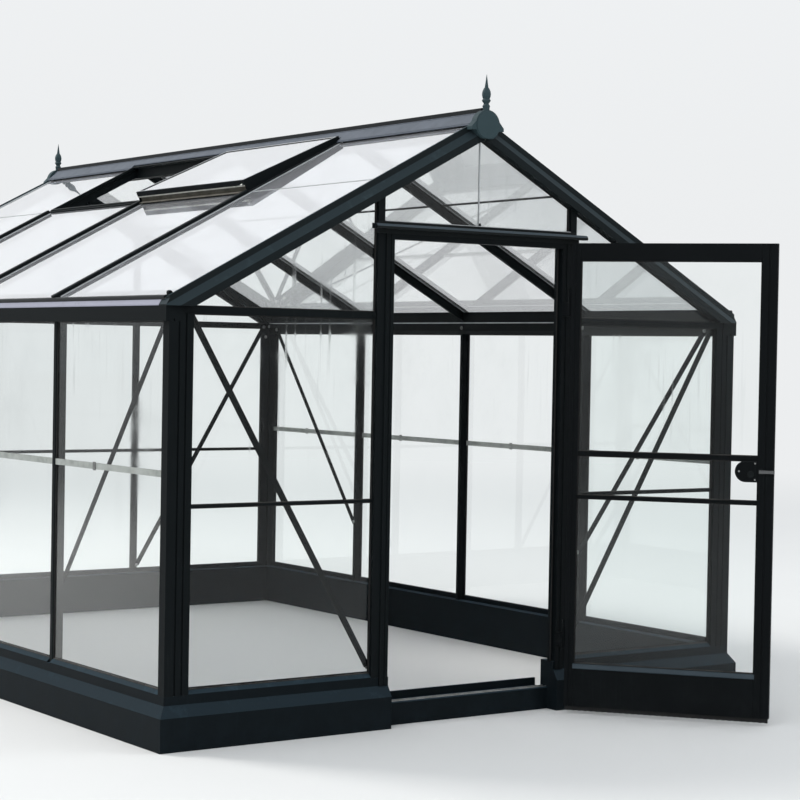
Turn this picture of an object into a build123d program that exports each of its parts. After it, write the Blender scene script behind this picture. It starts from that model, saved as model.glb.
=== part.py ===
from build123d import *
import math
import os

# Glass greenhouse with a pitched roof, on a boxed aluminium base, with one hinged door.
# Millimetres, +Z up, the front gable faces -Y. The origin is the middle of the door
# threshold's underside, on the ground.

# Frame, measured over the outer faces of the corner posts
FRAME_WIDTH = 3100.0
BAY_PITCH = 1052.0
BAY_COUNT = 4
FRONT_FACE_SETBACK = 90.0

# Base plinth
PLINTH_PROJECTION = 30.0
PLINTH_DEPTH = 90.0
PLINTH_FACE_HEIGHT = 138.0
CHAMFER_TOP = 184.0
PLINTH_TOP = 220.0
PLINTH_WALL = 4.0
SILL_SLOPE_FOOT = 3.0
SILL_SLOPE_RUN = 15.0
SILL_UPSTAND = 6.0
SILL_DEPTH = 31.0

# Glass and the grooves that hold it
GLASS_THICKNESS = 4.0
GLASS_SETBACK = 20.0
GLASS_CLEARANCE = 0.3
GROOVE_DEPTH = 10.0
GLASS_BITE = 8.0

# Depth of the gables' posts, rails, studs and jambs
GABLE_DEPTH = 34.0

# Corner posts: an L in plan, with a wide leg on the gable
POST_GABLE_LEG = 112.0
POST_SIDE_LEG = 50.0
POST_BOX = 66.0
POST_RIB_WIDTH = 8.0
POST_RIB_DEPTH = 5.0

# Glazing bars: side studs and roof bars are one extrusion
BAR_CAP_WIDTH = 30.0
BAR_CAP_RISE = 8.0
BAR_WEB = 6.0
BAR_SEAT = 5.0
BAR_STEM_WIDTH = 20.0
BAR_DEPTH = 46.0
BAR_WALL = 2.0

# Eaves
EAVE_BOTTOM = 1722.0
EAVE_SEAM = 1784.0
EAVE_PROJECTION = 15.0
EAVE_WALL = 3.0
GUTTER_LIP_TOP = 1788.0
GUTTER_SLOPE_RUN = 15.0

# Roof: the rafters' top edges start at the eave line and meet at the ridge
EAVE_LINE = 1820.0
RIDGE_LINE = 2647.0
ROOF_GLASS_SINK = 3.0
ROOF_GLASS_OVERHANG = 4.0

# Gable rafters
RAFTER_DEPTH = 82.0
RAFTER_THICKNESS = 60.0
RAFTER_BACK_DEPTH = 60.0
RAFTER_TOP_BAND = 20.0
RAFTER_BEVEL = 30.0
RAFTER_PROJECTION = 22.0
RAFTER_REBATE = 30.0
RAFTER_LIP_WIDTH = 12.0
ROOF_PANE_GAP = 2.0

# Gable rail at the eaves
RAIL_HEIGHT = 30.0
RAIL_FACE_SETBACK = 6.0

# Ridge
RIDGE_HALF_WIDTH = 35.0
RIDGE_BOTTOM = 2567.0
RIDGE_WEB_HALF_WIDTH = 10.0
RIDGE_GLASS_GAP = 3.0
CAP_HALF_WIDTH = 76.0
CAP_TOP = 2684.0
CAP_BEAD_HALF_WIDTH = 13.0
CAP_BEAD_HEIGHT = 10.0
CAP_WALL = 4.0
CAP_VENT_HALF_WIDTH = 48.0

# Ridge end caps and finials
DISC_RADIUS = 66.0
DISC_BELOW_CAP = 2.0
DISC_PROJECTION = 40.0
DISC_STEP = 4.0
DISC_FOOT_DROP = 60.0
EAR_REACH = 88.0
EAR_HEIGHT = 14.0
EAR_FOOT_DROP = 24.0
EAR_SHOULDER_HALF_WIDTH = 60.0
EAR_SHOULDER_RISE = 20.0
FINIAL_SINK = 8.0
FINIAL_STEM_RADIUS = 15.0
FINIAL_STEM_HEIGHT = 10.0
FINIAL_LOW_COLLAR = (17.0, 18.0)
FINIAL_LOW_NECK = (11.0, 28.0)
FINIAL_HIGH_COLLAR = (20.0, 42.0)
FINIAL_HIGH_NECK = (15.0, 50.0)
FINIAL_BULGE = (19.5, 70.0)
FINIAL_SHOULDER = (10.0, 98.0)
FINIAL_STEP = 1.5
FINIAL_HEIGHT = 160.0

# Door surround
DOOR_HALF_OPENING = 458.0
JAMB_HALF_OPENING = 466.0
JAMB_WIDTH = 82.0
JAMB_PROJECTION = 6.0
JAMB_BOX_WIDTH = 42.0
JAMB_RIB_INSET = 16.0
STOP_LIP = 16.0
STOP_LIP_DEPTH = 14.0
STUD_WIDTH = 34.0
HEAD_BOTTOM = 2096.0
DRIP_CAP_BOTTOM = 2120.0
DRIP_FASCIA_OVERHANG = 10.0
DRIP_LIP_BOTTOM = 2138.0
DRIP_LIP_HEIGHT = 10.0
DRIP_BEVEL = 9.0
DRIP_SHELF = 2160.0
DRIP_CAP_TOP = 2172.0
DRIP_CAP_OVERHANG = 32.0
DRIP_CAP_PROJECTION = 40.0

# Threshold
THRESHOLD_SETBACK = 40.0
THRESHOLD_DEPTH = 100.0
THRESHOLD_HEIGHT = 96.0
TRACK_RIB = 6.0
UPSTAND_THICKNESS = 12.0
UPSTAND_TOP = 130.0

# Glazing joints
GABLE_JOINT_HEIGHT = 978.0
GABLE_JOINT_BAR = 10.0
SIDE_JOINT_HEIGHT = 1108.0
SIDE_JOINT_BAR = 26.0
JOINT_OUTER_LIP = 5.0
JOINT_WEB = 3.0
SILICONE_JOINT = 2.0

# Roof vents on the left slope
VENT_SILL_AT = 1128.0
VENT_SILL_WIDTH = 26.0
VENT_SILL_DEPTH = 34.0
VENT_ANGLE = 3.25
VENT_FRAME_WIDTH = 14.0
VENT_FRAME_DEPTH = 24.0
VENT_GROOVE_DEPTH = 8.0
VENT_GLASS_BITE = 6.0
VENT_GLASS_SINK = 3.0
VENT_SIDE_GAP = 2.0
VENT_TOP_MARGIN = 59.0

# Diagonal braces, flat bars on the inner faces
BRACE_WIDTH = 28.0
BRACE_THICKNESS = 4.0
BRACE_HEAD_OVERLAP = 6.0
BRACE_FOOT_RISE = 50.0
SIDE_BRACE_FOOT = 575.0
SIDE_BRACE_TOP_INSET = 130.0

# Door leaf
LEAF_OPEN_ANGLE = 128.0
LEAF_THICKNESS = 32.0
LEAF_GAP_TO_FACE = 35.5
LEAF_BOTTOM = 32.0
LEAF_TOP = 2118.0
LEAF_GAP_HINGE = 10.0
LEAF_GAP_LOCK = 4.0
HINGE_STILE = 42.0
LOCK_STILE = 70.0
TOP_RAIL = 78.0
BOTTOM_RAIL = 194.0
UPPER_BAR = 20.0
LOWER_BAR = 14.0
BAR_SPACING = 195.0
LEAF_RIB_DEPTH = 3.0

# Hinges
HINGE_EDGE_GAP = 10.0
HINGE_AXIS_OUT = 6.0
KNUCKLE_RADIUS = 9.0
PIN_RADIUS = 4.0
PIN_CLEARANCE = 0.05
KNUCKLE_LENGTH = 63.0
KNUCKLE_GAP = 0.5
HINGE_PLATE = 3.0
HINGE_WEB = 5.0
HINGE_FOOT = 34.0
HINGE_STRAP = 40.0
HINGE_HEIGHTS = (292.0, 1790.0)

# Lock
LOCK_HEIGHT = 1117.0
LOCK_RADIUS = 47.0
LOCK_REACH = 100.0
LOCK_DEPTH = 30.0
LEVER_LENGTH = 68.0
LEVER_HEIGHT = 14.0
LEVER_STANDOFF = 12.0
PULL_HEIGHT = 84.0
PULL_REACH = 42.0
PULL_BAR = 10.0

# Values that follow from the ones above
HALF_WIDTH = FRAME_WIDTH / 2
FRAME_LENGTH = BAY_PITCH * BAY_COUNT
FRONT = -FRONT_FACE_SETBACK
REAR = FRONT + FRAME_LENGTH
MIDDLE = (FRONT + REAR) / 2
PITCH = math.atan2(RIDGE_LINE - EAVE_LINE, HALF_WIDTH)
DISC_CENTRE = CAP_TOP - DISC_BELOW_CAP - DISC_RADIUS
SLOPE = math.tan(PITCH)
SLOPE_LENGTH = HALF_WIDTH / math.cos(PITCH)
GROOVE_NEAR = GLASS_SETBACK - GLASS_CLEARANCE
GROOVE_FAR = GLASS_SETBACK + GLASS_THICKNESS + GLASS_CLEARANCE
SILL_TOP = PLINTH_TOP + SILL_SLOPE_FOOT + SILL_SLOPE_RUN
SILL_GROOVE_FLOOR = SILL_TOP - GROOVE_DEPTH
SEAT_SINK = ROOF_GLASS_SINK + GLASS_THICKNESS + GLASS_CLEARANCE
POST_INNER = HALF_WIDTH - POST_GABLE_LEG
JAMB_OUTER = JAMB_HALF_OPENING + JAMB_WIDTH
STUD_INNER = JAMB_OUTER - STUD_WIDTH
RAIL_BOTTOM = EAVE_SEAM - RAIL_HEIGHT
EAVE_INNER = POST_BOX
UPPER_BAR_HEIGHT = LOCK_HEIGHT + LOCK_RADIUS + UPPER_BAR / 2
LOWER_BAR_HEIGHT = UPPER_BAR_HEIGHT - BAR_SPACING
ROOM_HEIGHT = RIDGE_LINE + 400.0
BAR_LINES = [FRONT + BAY_PITCH * index for index in range(1, BAY_COUNT)]
LEFT_SIDE = -1
RIGHT_SIDE = 1
CENTRE_PLANE = Plane(origin=(0, 0, 0), z_dir=(1, 0, 0))
MIDDLE_PLANE = Plane(origin=(0, MIDDLE, 0), z_dir=(0, 1, 0))


def across(shape):
    """The same shape on the other side of the ridge."""
    return mirror(shape, about=CENTRE_PLANE)


def to_rear(shape):
    """The same shape at the other end of the building."""
    return mirror(shape, about=MIDDLE_PLANE)


def prism_along_y(points, start, end):
    """A prism of an outline of (x, z) points, between two places along Y."""
    plane = Plane(origin=(0, start, 0), x_dir=(1, 0, 0), z_dir=(0, -1, 0))
    face = plane * make_face(Polyline(*points, close=True))
    return extrude(face, amount=end - start, dir=(0, 1, 0))


def prism_along_x(points, start, end):
    """A prism of an outline of (y, z) points, between two places along X."""
    plane = Plane(origin=(start, 0, 0), x_dir=(0, 1, 0), z_dir=(1, 0, 0))
    face = plane * make_face(Polyline(*points, close=True))
    return extrude(face, amount=end - start, dir=(1, 0, 0))


def prism_along_z(points, start, end):
    """A prism of an outline of (x, y) points, between two heights."""
    plane = Plane(origin=(0, 0, start))
    face = plane * make_face(Polyline(*points, close=True))
    return extrude(face, amount=end - start, dir=(0, 0, 1))


def block(low, high):
    """A plain block between two opposite corners."""
    size = [high[axis] - low[axis] for axis in range(3)]
    centre = [(high[axis] + low[axis]) / 2 for axis in range(3)]
    return Pos(*centre) * Box(*size)


def roof_height(inset, normal_offset):
    """Height on a slope, inset from the wall's outer face, offset square to the slope."""
    return EAVE_LINE + inset * SLOPE + normal_offset / math.cos(PITCH)


def solids_of(*shapes):
    """One compound of every solid in the given shapes."""
    found = [solid for shape in shapes for solid in shape.solids()]
    return Compound(children=found)


# Base: a boxed plinth, mitred at the corners, with a sloped sill that holds the glass
def plinth_outline():
    return [
        (-PLINTH_PROJECTION, 0),
        (-PLINTH_PROJECTION, PLINTH_FACE_HEIGHT),
        (0, CHAMFER_TOP),
        (0, PLINTH_TOP),
        (PLINTH_DEPTH, PLINTH_TOP),
        (PLINTH_DEPTH, 0),
    ]


def plinth_chamber_outline():
    run = math.hypot(PLINTH_PROJECTION, CHAMFER_TOP - PLINTH_FACE_HEIGHT)
    bend = PLINTH_WALL * (run - (CHAMFER_TOP - PLINTH_FACE_HEIGHT)) / PLINTH_PROJECTION
    return [
        (-PLINTH_PROJECTION + PLINTH_WALL, PLINTH_WALL),
        (-PLINTH_PROJECTION + PLINTH_WALL, PLINTH_FACE_HEIGHT - bend),
        (PLINTH_WALL, CHAMFER_TOP - bend),
        (PLINTH_WALL, PLINTH_TOP - PLINTH_WALL),
        (PLINTH_DEPTH - PLINTH_WALL, PLINTH_TOP - PLINTH_WALL),
        (PLINTH_DEPTH - PLINTH_WALL, PLINTH_WALL),
    ]


def sill_outline():
    return [
        (0, PLINTH_TOP),
        (0, PLINTH_TOP + SILL_SLOPE_FOOT),
        (SILL_SLOPE_RUN, SILL_TOP),
        (GROOVE_NEAR, SILL_TOP),
        (GROOVE_NEAR, SILL_GROOVE_FLOOR),
        (GROOVE_FAR, SILL_GROOVE_FLOOR),
        (GROOVE_FAR, SILL_TOP + SILL_UPSTAND),
        (SILL_DEPTH, SILL_TOP + SILL_UPSTAND),
        (SILL_DEPTH, PLINTH_TOP),
    ]


def on_left_wall(outline):
    return [(-HALF_WIDTH + inset, height) for inset, height in outline]


def on_front_gable(outline):
    return [(FRONT + inset, height) for inset, height in outline]


def mitre_corner(x_sign, y_edge, y_sign, offset):
    return (x_sign * (HALF_WIDTH - offset), y_edge + y_sign * offset)


def side_base():
    mitred = prism_along_z(
        [
            mitre_corner(-1, FRONT, 1, -PLINTH_PROJECTION),
            mitre_corner(-1, FRONT, 1, PLINTH_DEPTH),
            mitre_corner(-1, REAR, -1, PLINTH_DEPTH),
            mitre_corner(-1, REAR, -1, -PLINTH_PROJECTION),
        ],
        0,
        PLINTH_TOP,
    )
    start = FRONT - PLINTH_PROJECTION
    end = REAR + PLINTH_PROJECTION
    outer = prism_along_y(on_left_wall(plinth_outline()), start, end)
    chamber = prism_along_y(on_left_wall(plinth_chamber_outline()), start, end)
    base = (outer - chamber) & mitred
    edges = [FRONT + POST_SIDE_LEG]
    for line in BAR_LINES:
        edges += [line - BAR_CAP_WIDTH / 2, line + BAR_CAP_WIDTH / 2]
    edges.append(REAR - POST_SIDE_LEG)
    for index in range(0, len(edges), 2):
        base += prism_along_y(on_left_wall(sill_outline()), edges[index], edges[index + 1])
    return base


def gable_base(inner_end, chamber_end, sill_spans):
    """Half or all of a gable's plinth, from the left corner to inner_end along X."""
    outer_edge = -HALF_WIDTH - PLINTH_PROJECTION
    far = max(inner_end, -outer_edge) if inner_end > 0 else inner_end
    points = [
        mitre_corner(-1, FRONT, 1, -PLINTH_PROJECTION),
        mitre_corner(-1, FRONT, 1, PLINTH_DEPTH),
    ]
    if inner_end > 0:
        points.append(mitre_corner(1, FRONT, 1, PLINTH_DEPTH))
        points.append(mitre_corner(1, FRONT, 1, -PLINTH_PROJECTION))
    else:
        points.append((inner_end, FRONT + PLINTH_DEPTH))
        points.append((inner_end, FRONT - PLINTH_PROJECTION))
    mitred = prism_along_z(points, 0, PLINTH_TOP)
    outer = prism_along_x(on_front_gable(plinth_outline()), outer_edge, far)
    chamber = prism_along_x(on_front_gable(plinth_chamber_outline()), outer_edge, chamber_end)
    base = (outer - chamber) & mitred
    for start, end in sill_spans:
        base += prism_along_x(on_front_gable(sill_outline()), start, end)
    return base


base_left = side_base()
base_right = across(base_left)
base_front_left = gable_base(
    -DOOR_HALF_OPENING,
    -DOOR_HALF_OPENING - PLINTH_WALL,
    [(-POST_INNER, -JAMB_OUTER)],
)
base_front_right = across(base_front_left)
base_rear = to_rear(
    gable_base(
        HALF_WIDTH,
        HALF_WIDTH + PLINTH_PROJECTION,
        [
            (-POST_INNER, -JAMB_OUTER),
            (-STUD_INNER, STUD_INNER),
            (JAMB_OUTER, POST_INNER),
        ],
    )
)


def threshold():
    """A sill with two low track ribs and an upstand along its back edge."""
    near = FRONT + THRESHOLD_SETBACK
    far = near + THRESHOLD_DEPTH
    body_top = THRESHOLD_HEIGHT
    rib_top = THRESHOLD_HEIGHT + TRACK_RIB
    outline = [
        (near, 0),
        (near, body_top),
        (near + TRACK_RIB, rib_top),
        (near + 2 * TRACK_RIB, rib_top),
        (near + 2 * TRACK_RIB, body_top),
        (near + 5 * TRACK_RIB, body_top),
        (near + 5 * TRACK_RIB, rib_top),
        (near + 6 * TRACK_RIB, rib_top),
        (near + 6 * TRACK_RIB, body_top),
        (far - UPSTAND_THICKNESS, body_top),
        (far - UPSTAND_THICKNESS, UPSTAND_TOP),
        (far, UPSTAND_TOP),
        (far, 0),
    ]
    return prism_along_x(outline, -DOOR_HALF_OPENING, DOOR_HALF_OPENING)


door_threshold = threshold()


# Corner posts
def corner_post():
    ribs_at = [POST_BOX + POST_RIB_WIDTH, POST_BOX - 3 * POST_RIB_WIDTH]
    outline = [
        (0, 0),
        (POST_GABLE_LEG, 0),
        (POST_GABLE_LEG, GABLE_DEPTH),
        (POST_BOX, GABLE_DEPTH),
        (POST_BOX, POST_SIDE_LEG),
        (0, POST_SIDE_LEG),
    ]
    placed = [(-HALF_WIDTH + across_face, FRONT + depth) for across_face, depth in outline]
    post = prism_along_z(placed, PLINTH_TOP, RAIL_BOTTOM)
    for rib in ribs_at:
        left = -HALF_WIDTH + rib
        post -= block(
            (left, FRONT, PLINTH_TOP),
            (left + POST_RIB_WIDTH, FRONT + POST_RIB_DEPTH, RAIL_BOTTOM),
        )
    gable_groove = block(
        (-POST_INNER - GROOVE_DEPTH, FRONT + GROOVE_NEAR, PLINTH_TOP),
        (-POST_INNER, FRONT + GROOVE_FAR, RAIL_BOTTOM),
    )
    side_groove = block(
        (-HALF_WIDTH + GROOVE_NEAR, FRONT + POST_SIDE_LEG - GROOVE_DEPTH, PLINTH_TOP),
        (-HALF_WIDTH + GROOVE_FAR, FRONT + POST_SIDE_LEG, RAIL_BOTTOM),
    )
    under_eave = block(
        (-HALF_WIDTH, FRONT, EAVE_BOTTOM),
        (-HALF_WIDTH + EAVE_INNER, FRONT + POST_SIDE_LEG, RAIL_BOTTOM),
    )
    return post - gable_groove - side_groove - under_eave


front_left_post = corner_post()
front_right_post = across(front_left_post)
corner_posts = solids_of(
    front_left_post, front_right_post, to_rear(front_left_post), to_rear(front_right_post)
)


# Glazing bars: a T-shaped cap over the glass and a hollow stem behind it
def bar_outline():
    half_cap = BAR_CAP_WIDTH / 2
    half_web = BAR_WEB / 2
    half_stem = BAR_STEM_WIDTH / 2
    outer = BAR_CAP_RISE
    under_cap = GLASS_CLEARANCE
    seat = -GLASS_THICKNESS - GLASS_CLEARANCE
    seat_back = seat - BAR_SEAT
    inner = outer - BAR_CAP_RISE - BAR_DEPTH
    right = [
        (half_cap - 3, outer),
        (half_cap, outer - 3),
        (half_cap, under_cap),
        (half_web, under_cap),
        (half_web, seat),
        (half_cap, seat),
        (half_cap, seat_back),
        (half_stem, seat_back - 3),
        (half_stem, inner),
    ]
    left = [(-across_bar, depth) for across_bar, depth in reversed(right)]
    return right + left


def bar_chamber_outline():
    half = BAR_STEM_WIDTH / 2 - BAR_WALL
    top = -GLASS_THICKNESS - GLASS_CLEARANCE - BAR_WALL
    bottom = -BAR_DEPTH + BAR_WALL
    return [(-half, top), (half, top), (half, bottom), (-half, bottom)]


def side_stud(line):
    """A stud of the left wall: the bar's outline, with its cap outwards."""
    def placed(outline):
        return [(-HALF_WIDTH + GLASS_SETBACK - depth, line + along) for along, depth in outline]

    outer = prism_along_z(placed(bar_outline()), PLINTH_TOP, EAVE_BOTTOM)
    chamber = prism_along_z(placed(bar_chamber_outline()), PLINTH_TOP, EAVE_BOTTOM)
    return outer - chamber


left_studs = [side_stud(line) for line in BAR_LINES]
side_studs = solids_of(*left_studs, *[across(stud) for stud in left_studs])


# Eaves: a boxed beam over the wall, and a gutter sill that carries the roof glass
def eave_beam():
    outline = [
        (-EAVE_PROJECTION, EAVE_BOTTOM),
        (-EAVE_PROJECTION, EAVE_SEAM),
        (EAVE_INNER, EAVE_SEAM),
        (EAVE_INNER, EAVE_BOTTOM),
        (GROOVE_FAR, EAVE_BOTTOM),
        (GROOVE_FAR, EAVE_BOTTOM + GROOVE_DEPTH),
        (GROOVE_NEAR, EAVE_BOTTOM + GROOVE_DEPTH),
        (GROOVE_NEAR, EAVE_BOTTOM),
    ]
    chamber = [
        (-EAVE_PROJECTION + EAVE_WALL, EAVE_BOTTOM + GROOVE_DEPTH + EAVE_WALL),
        (-EAVE_PROJECTION + EAVE_WALL, EAVE_SEAM - EAVE_WALL),
        (EAVE_INNER - EAVE_WALL, EAVE_SEAM - EAVE_WALL),
        (EAVE_INNER - EAVE_WALL, EAVE_BOTTOM + GROOVE_DEPTH + EAVE_WALL),
    ]
    outer = prism_along_y(on_left_wall(outline), FRONT, REAR)
    inner = prism_along_y(on_left_wall(chamber), FRONT + EAVE_WALL, REAR - EAVE_WALL)
    return (outer - inner) + gutter_top()


def gutter_face():
    """The sloped outer face over the eave seam, as (inset, height) points from the foot up."""
    top_start = -EAVE_PROJECTION + GUTTER_SLOPE_RUN
    return [
        (-EAVE_PROJECTION, EAVE_SEAM),
        (-EAVE_PROJECTION, GUTTER_LIP_TOP),
        (top_start, roof_height(top_start, -SEAT_SINK)),
    ]


def gutter_top():
    outline = gutter_face() + [
        (EAVE_INNER, roof_height(EAVE_INNER, -SEAT_SINK)),
        (EAVE_INNER, EAVE_SEAM),
    ]
    start = FRONT + RAFTER_THICKNESS
    end = REAR - RAFTER_THICKNESS
    return prism_along_y(on_left_wall(outline), start, end)


eave_left = eave_beam()
eave_right = across(eave_left)


# Gable rafters: a bevelled front over a deep lower band, mitred at the ridge
def slope_plane(y_at):
    return Plane(
        origin=(-HALF_WIDTH, y_at, EAVE_LINE),
        x_dir=(0, 1, 0),
        z_dir=(math.cos(PITCH), 0, math.sin(PITCH)),
    )


def along_slope(outline, y_at, start, end):
    """A prism of an outline of (along Y, square to the slope) points, up the left slope."""
    plane = slope_plane(y_at)
    face = plane * make_face(Polyline(*outline, close=True))
    placed = face.translate(plane.z_dir * start)
    return extrude(placed, amount=end - start, dir=plane.z_dir)


def rafter_outline():
    step = RAFTER_TOP_BAND + RAFTER_BEVEL
    lip_top = BAR_CAP_RISE - ROOF_GLASS_SINK
    return [
        (0, lip_top),
        (0, -RAFTER_TOP_BAND),
        (-RAFTER_PROJECTION, -step),
        (-RAFTER_PROJECTION, -RAFTER_DEPTH),
        (GROOVE_NEAR, -RAFTER_DEPTH),
        (GROOVE_NEAR, -RAFTER_DEPTH + GROOVE_DEPTH),
        (GROOVE_FAR, -RAFTER_DEPTH + GROOVE_DEPTH),
        (GROOVE_FAR, -RAFTER_DEPTH),
        (GABLE_DEPTH, -RAFTER_DEPTH),
        (GABLE_DEPTH, -RAFTER_BACK_DEPTH),
        (RAFTER_THICKNESS, -RAFTER_BACK_DEPTH),
        (RAFTER_THICKNESS, -SEAT_SINK),
        (RAFTER_REBATE, -SEAT_SINK),
        (RAFTER_REBATE, 0),
        (RAFTER_LIP_WIDTH, 0),
        (RAFTER_LIP_WIDTH, lip_top),
    ]


def gable_rafter():
    rough = along_slope(rafter_outline(), FRONT, -POST_GABLE_LEG, SLOPE_LENGTH + POST_GABLE_LEG)
    foot = gutter_face()
    bounds = foot + [(foot[-1][0], ROOM_HEIGHT), (HALF_WIDTH, ROOM_HEIGHT), (HALF_WIDTH, EAVE_SEAM)]
    keep = prism_along_y(on_left_wall(bounds), FRONT - PLINTH_DEPTH, FRONT + PLINTH_DEPTH)
    return rough & keep


rafter_front_left = gable_rafter()
rafter_front_right = across(rafter_front_left)
rafter_rear_left = to_rear(rafter_front_left)
rafter_rear_right = to_rear(rafter_front_right)


# Roof bars
def roof_bar(line):
    def lowered(outline):
        return [(along, depth - ROOF_GLASS_SINK) for along, depth in outline]

    outer = along_slope(lowered(bar_outline()), line, -POST_GABLE_LEG, SLOPE_LENGTH)
    chamber = along_slope(lowered(bar_chamber_outline()), line, -POST_GABLE_LEG, SLOPE_LENGTH)
    keep = block(
        (-HALF_WIDTH - ROOF_GLASS_OVERHANG, line - BAR_CAP_WIDTH, EAVE_BOTTOM),
        (-RIDGE_HALF_WIDTH, line + BAR_CAP_WIDTH, ROOM_HEIGHT),
    )
    over_eave = prism_along_y(
        [
            (-HALF_WIDTH - POST_GABLE_LEG, EAVE_BOTTOM),
            (-HALF_WIDTH - POST_GABLE_LEG, roof_height(-POST_GABLE_LEG, -SEAT_SINK)),
            (-HALF_WIDTH + EAVE_INNER, roof_height(EAVE_INNER, -SEAT_SINK)),
            (-HALF_WIDTH + EAVE_INNER, EAVE_BOTTOM),
        ],
        line - BAR_CAP_WIDTH,
        line + BAR_CAP_WIDTH,
    )
    return ((outer - chamber) & keep) - over_eave


left_bars = [roof_bar(line) for line in BAR_LINES]
roof_bars = solids_of(*left_bars, *[across(bar) for bar in left_bars])


# Gable rails at the eaves
def rail_outline():
    return [
        (RAIL_FACE_SETBACK, RAIL_BOTTOM),
        (RAIL_FACE_SETBACK, EAVE_SEAM),
        (GROOVE_NEAR, EAVE_SEAM),
        (GROOVE_NEAR, EAVE_SEAM - GROOVE_DEPTH),
        (GROOVE_FAR, EAVE_SEAM - GROOVE_DEPTH),
        (GROOVE_FAR, EAVE_SEAM),
        (GABLE_DEPTH, EAVE_SEAM),
        (GABLE_DEPTH, RAIL_BOTTOM),
        (GROOVE_FAR, RAIL_BOTTOM),
        (GROOVE_FAR, RAIL_BOTTOM + GROOVE_DEPTH),
        (GROOVE_NEAR, RAIL_BOTTOM + GROOVE_DEPTH),
        (GROOVE_NEAR, RAIL_BOTTOM),
    ]


def gable_rail(start, end):
    return prism_along_x(on_front_gable(rail_outline()), start, end)


EAVE_INNER_X = HALF_WIDTH - EAVE_INNER
front_side_rail = gable_rail(-EAVE_INNER_X, -JAMB_OUTER)


# Door surround: rebated jambs, the head between them and a drip cap over both
def door_jamb():
    """A jamb with a stop lip inside and a front box that runs down over the plinth."""
    box_edge = JAMB_HALF_OPENING + JAMB_BOX_WIDTH
    outline = [
        (JAMB_HALF_OPENING, -JAMB_PROJECTION),
        (box_edge, -JAMB_PROJECTION),
        (box_edge, 0),
        (JAMB_OUTER, 0),
        (JAMB_OUTER, GABLE_DEPTH),
        (JAMB_HALF_OPENING, GABLE_DEPTH),
    ]
    placed = [(across_face, FRONT + depth) for across_face, depth in outline]
    jamb = prism_along_z(placed, PLINTH_TOP, DRIP_CAP_BOTTOM)
    jamb += block(
        (JAMB_HALF_OPENING - STOP_LIP, FRONT + GABLE_DEPTH - STOP_LIP_DEPTH, PLINTH_TOP),
        (JAMB_HALF_OPENING, FRONT + GABLE_DEPTH, HEAD_BOTTOM),
    )
    jamb += block(
        (JAMB_HALF_OPENING, FRONT - JAMB_PROJECTION, CHAMFER_TOP), (box_edge, FRONT, PLINTH_TOP)
    )
    groove = block(
        (JAMB_OUTER - GROOVE_DEPTH, FRONT + GROOVE_NEAR, PLINTH_TOP),
        (JAMB_OUTER, FRONT + GROOVE_FAR, DRIP_CAP_BOTTOM),
    )
    rib_start = JAMB_HALF_OPENING + JAMB_RIB_INSET
    rib = block(
        (rib_start, FRONT - JAMB_PROJECTION, CHAMFER_TOP),
        (rib_start + POST_RIB_WIDTH, FRONT - JAMB_PROJECTION / 2, DRIP_CAP_BOTTOM),
    )
    return jamb - groove - rib


def drip_cap():
    """A fascia over the head, a projecting drip lip and the sill of the panes above."""
    front = FRONT - DRIP_CAP_PROJECTION
    fascia = FRONT - JAMB_PROJECTION
    lip_top = DRIP_LIP_BOTTOM + DRIP_LIP_HEIGHT
    outline = [
        (front, DRIP_LIP_BOTTOM),
        (front, lip_top),
        (front + DRIP_BEVEL, lip_top + DRIP_BEVEL),
        (FRONT, DRIP_SHELF),
        (FRONT, DRIP_CAP_TOP),
        (FRONT + GROOVE_NEAR, DRIP_CAP_TOP),
        (FRONT + GROOVE_NEAR, DRIP_CAP_TOP - GROOVE_DEPTH),
        (FRONT + GROOVE_FAR, DRIP_CAP_TOP - GROOVE_DEPTH),
        (FRONT + GROOVE_FAR, DRIP_CAP_TOP),
        (FRONT + GABLE_DEPTH, DRIP_CAP_TOP),
        (FRONT + GABLE_DEPTH, DRIP_CAP_BOTTOM),
        (fascia, DRIP_CAP_BOTTOM),
        (fascia, DRIP_LIP_BOTTOM),
    ]
    reach = JAMB_OUTER + DRIP_CAP_OVERHANG
    cap = prism_along_x(outline, -reach, reach)
    for side in (LEFT_SIDE, RIGHT_SIDE):
        beyond = side * (reach + GLASS_BITE)
        outer = sorted((side * JAMB_OUTER, beyond))
        cap -= block(
            (outer[0], FRONT, DRIP_CAP_BOTTOM),
            (outer[1], FRONT + GABLE_DEPTH, DRIP_CAP_TOP),
        )
        past_fascia = sorted((side * (JAMB_OUTER + DRIP_FASCIA_OVERHANG), beyond))
        cap -= block(
            (past_fascia[0], fascia, DRIP_CAP_BOTTOM), (past_fascia[1], FRONT, DRIP_LIP_BOTTOM)
        )
        bite = sorted((side * (JAMB_OUTER - GROOVE_DEPTH), beyond))
        cap -= block(
            (bite[0], FRONT + GROOVE_NEAR, DRIP_CAP_BOTTOM),
            (bite[1], FRONT + GROOVE_FAR, DRIP_CAP_TOP),
        )
    return cap


right_jamb = door_jamb()
door_jambs = solids_of(right_jamb, across(right_jamb))
door_head = block(
    (-JAMB_HALF_OPENING, FRONT - JAMB_PROJECTION, HEAD_BOTTOM),
    (JAMB_HALF_OPENING, FRONT + GABLE_DEPTH, DRIP_CAP_BOTTOM),
)
door_drip_cap = drip_cap()


# Gable studs, cut to the rafters' undersides
def rafter_underside(x_at):
    return roof_height(HALF_WIDTH - abs(x_at), -RAFTER_DEPTH)


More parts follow.
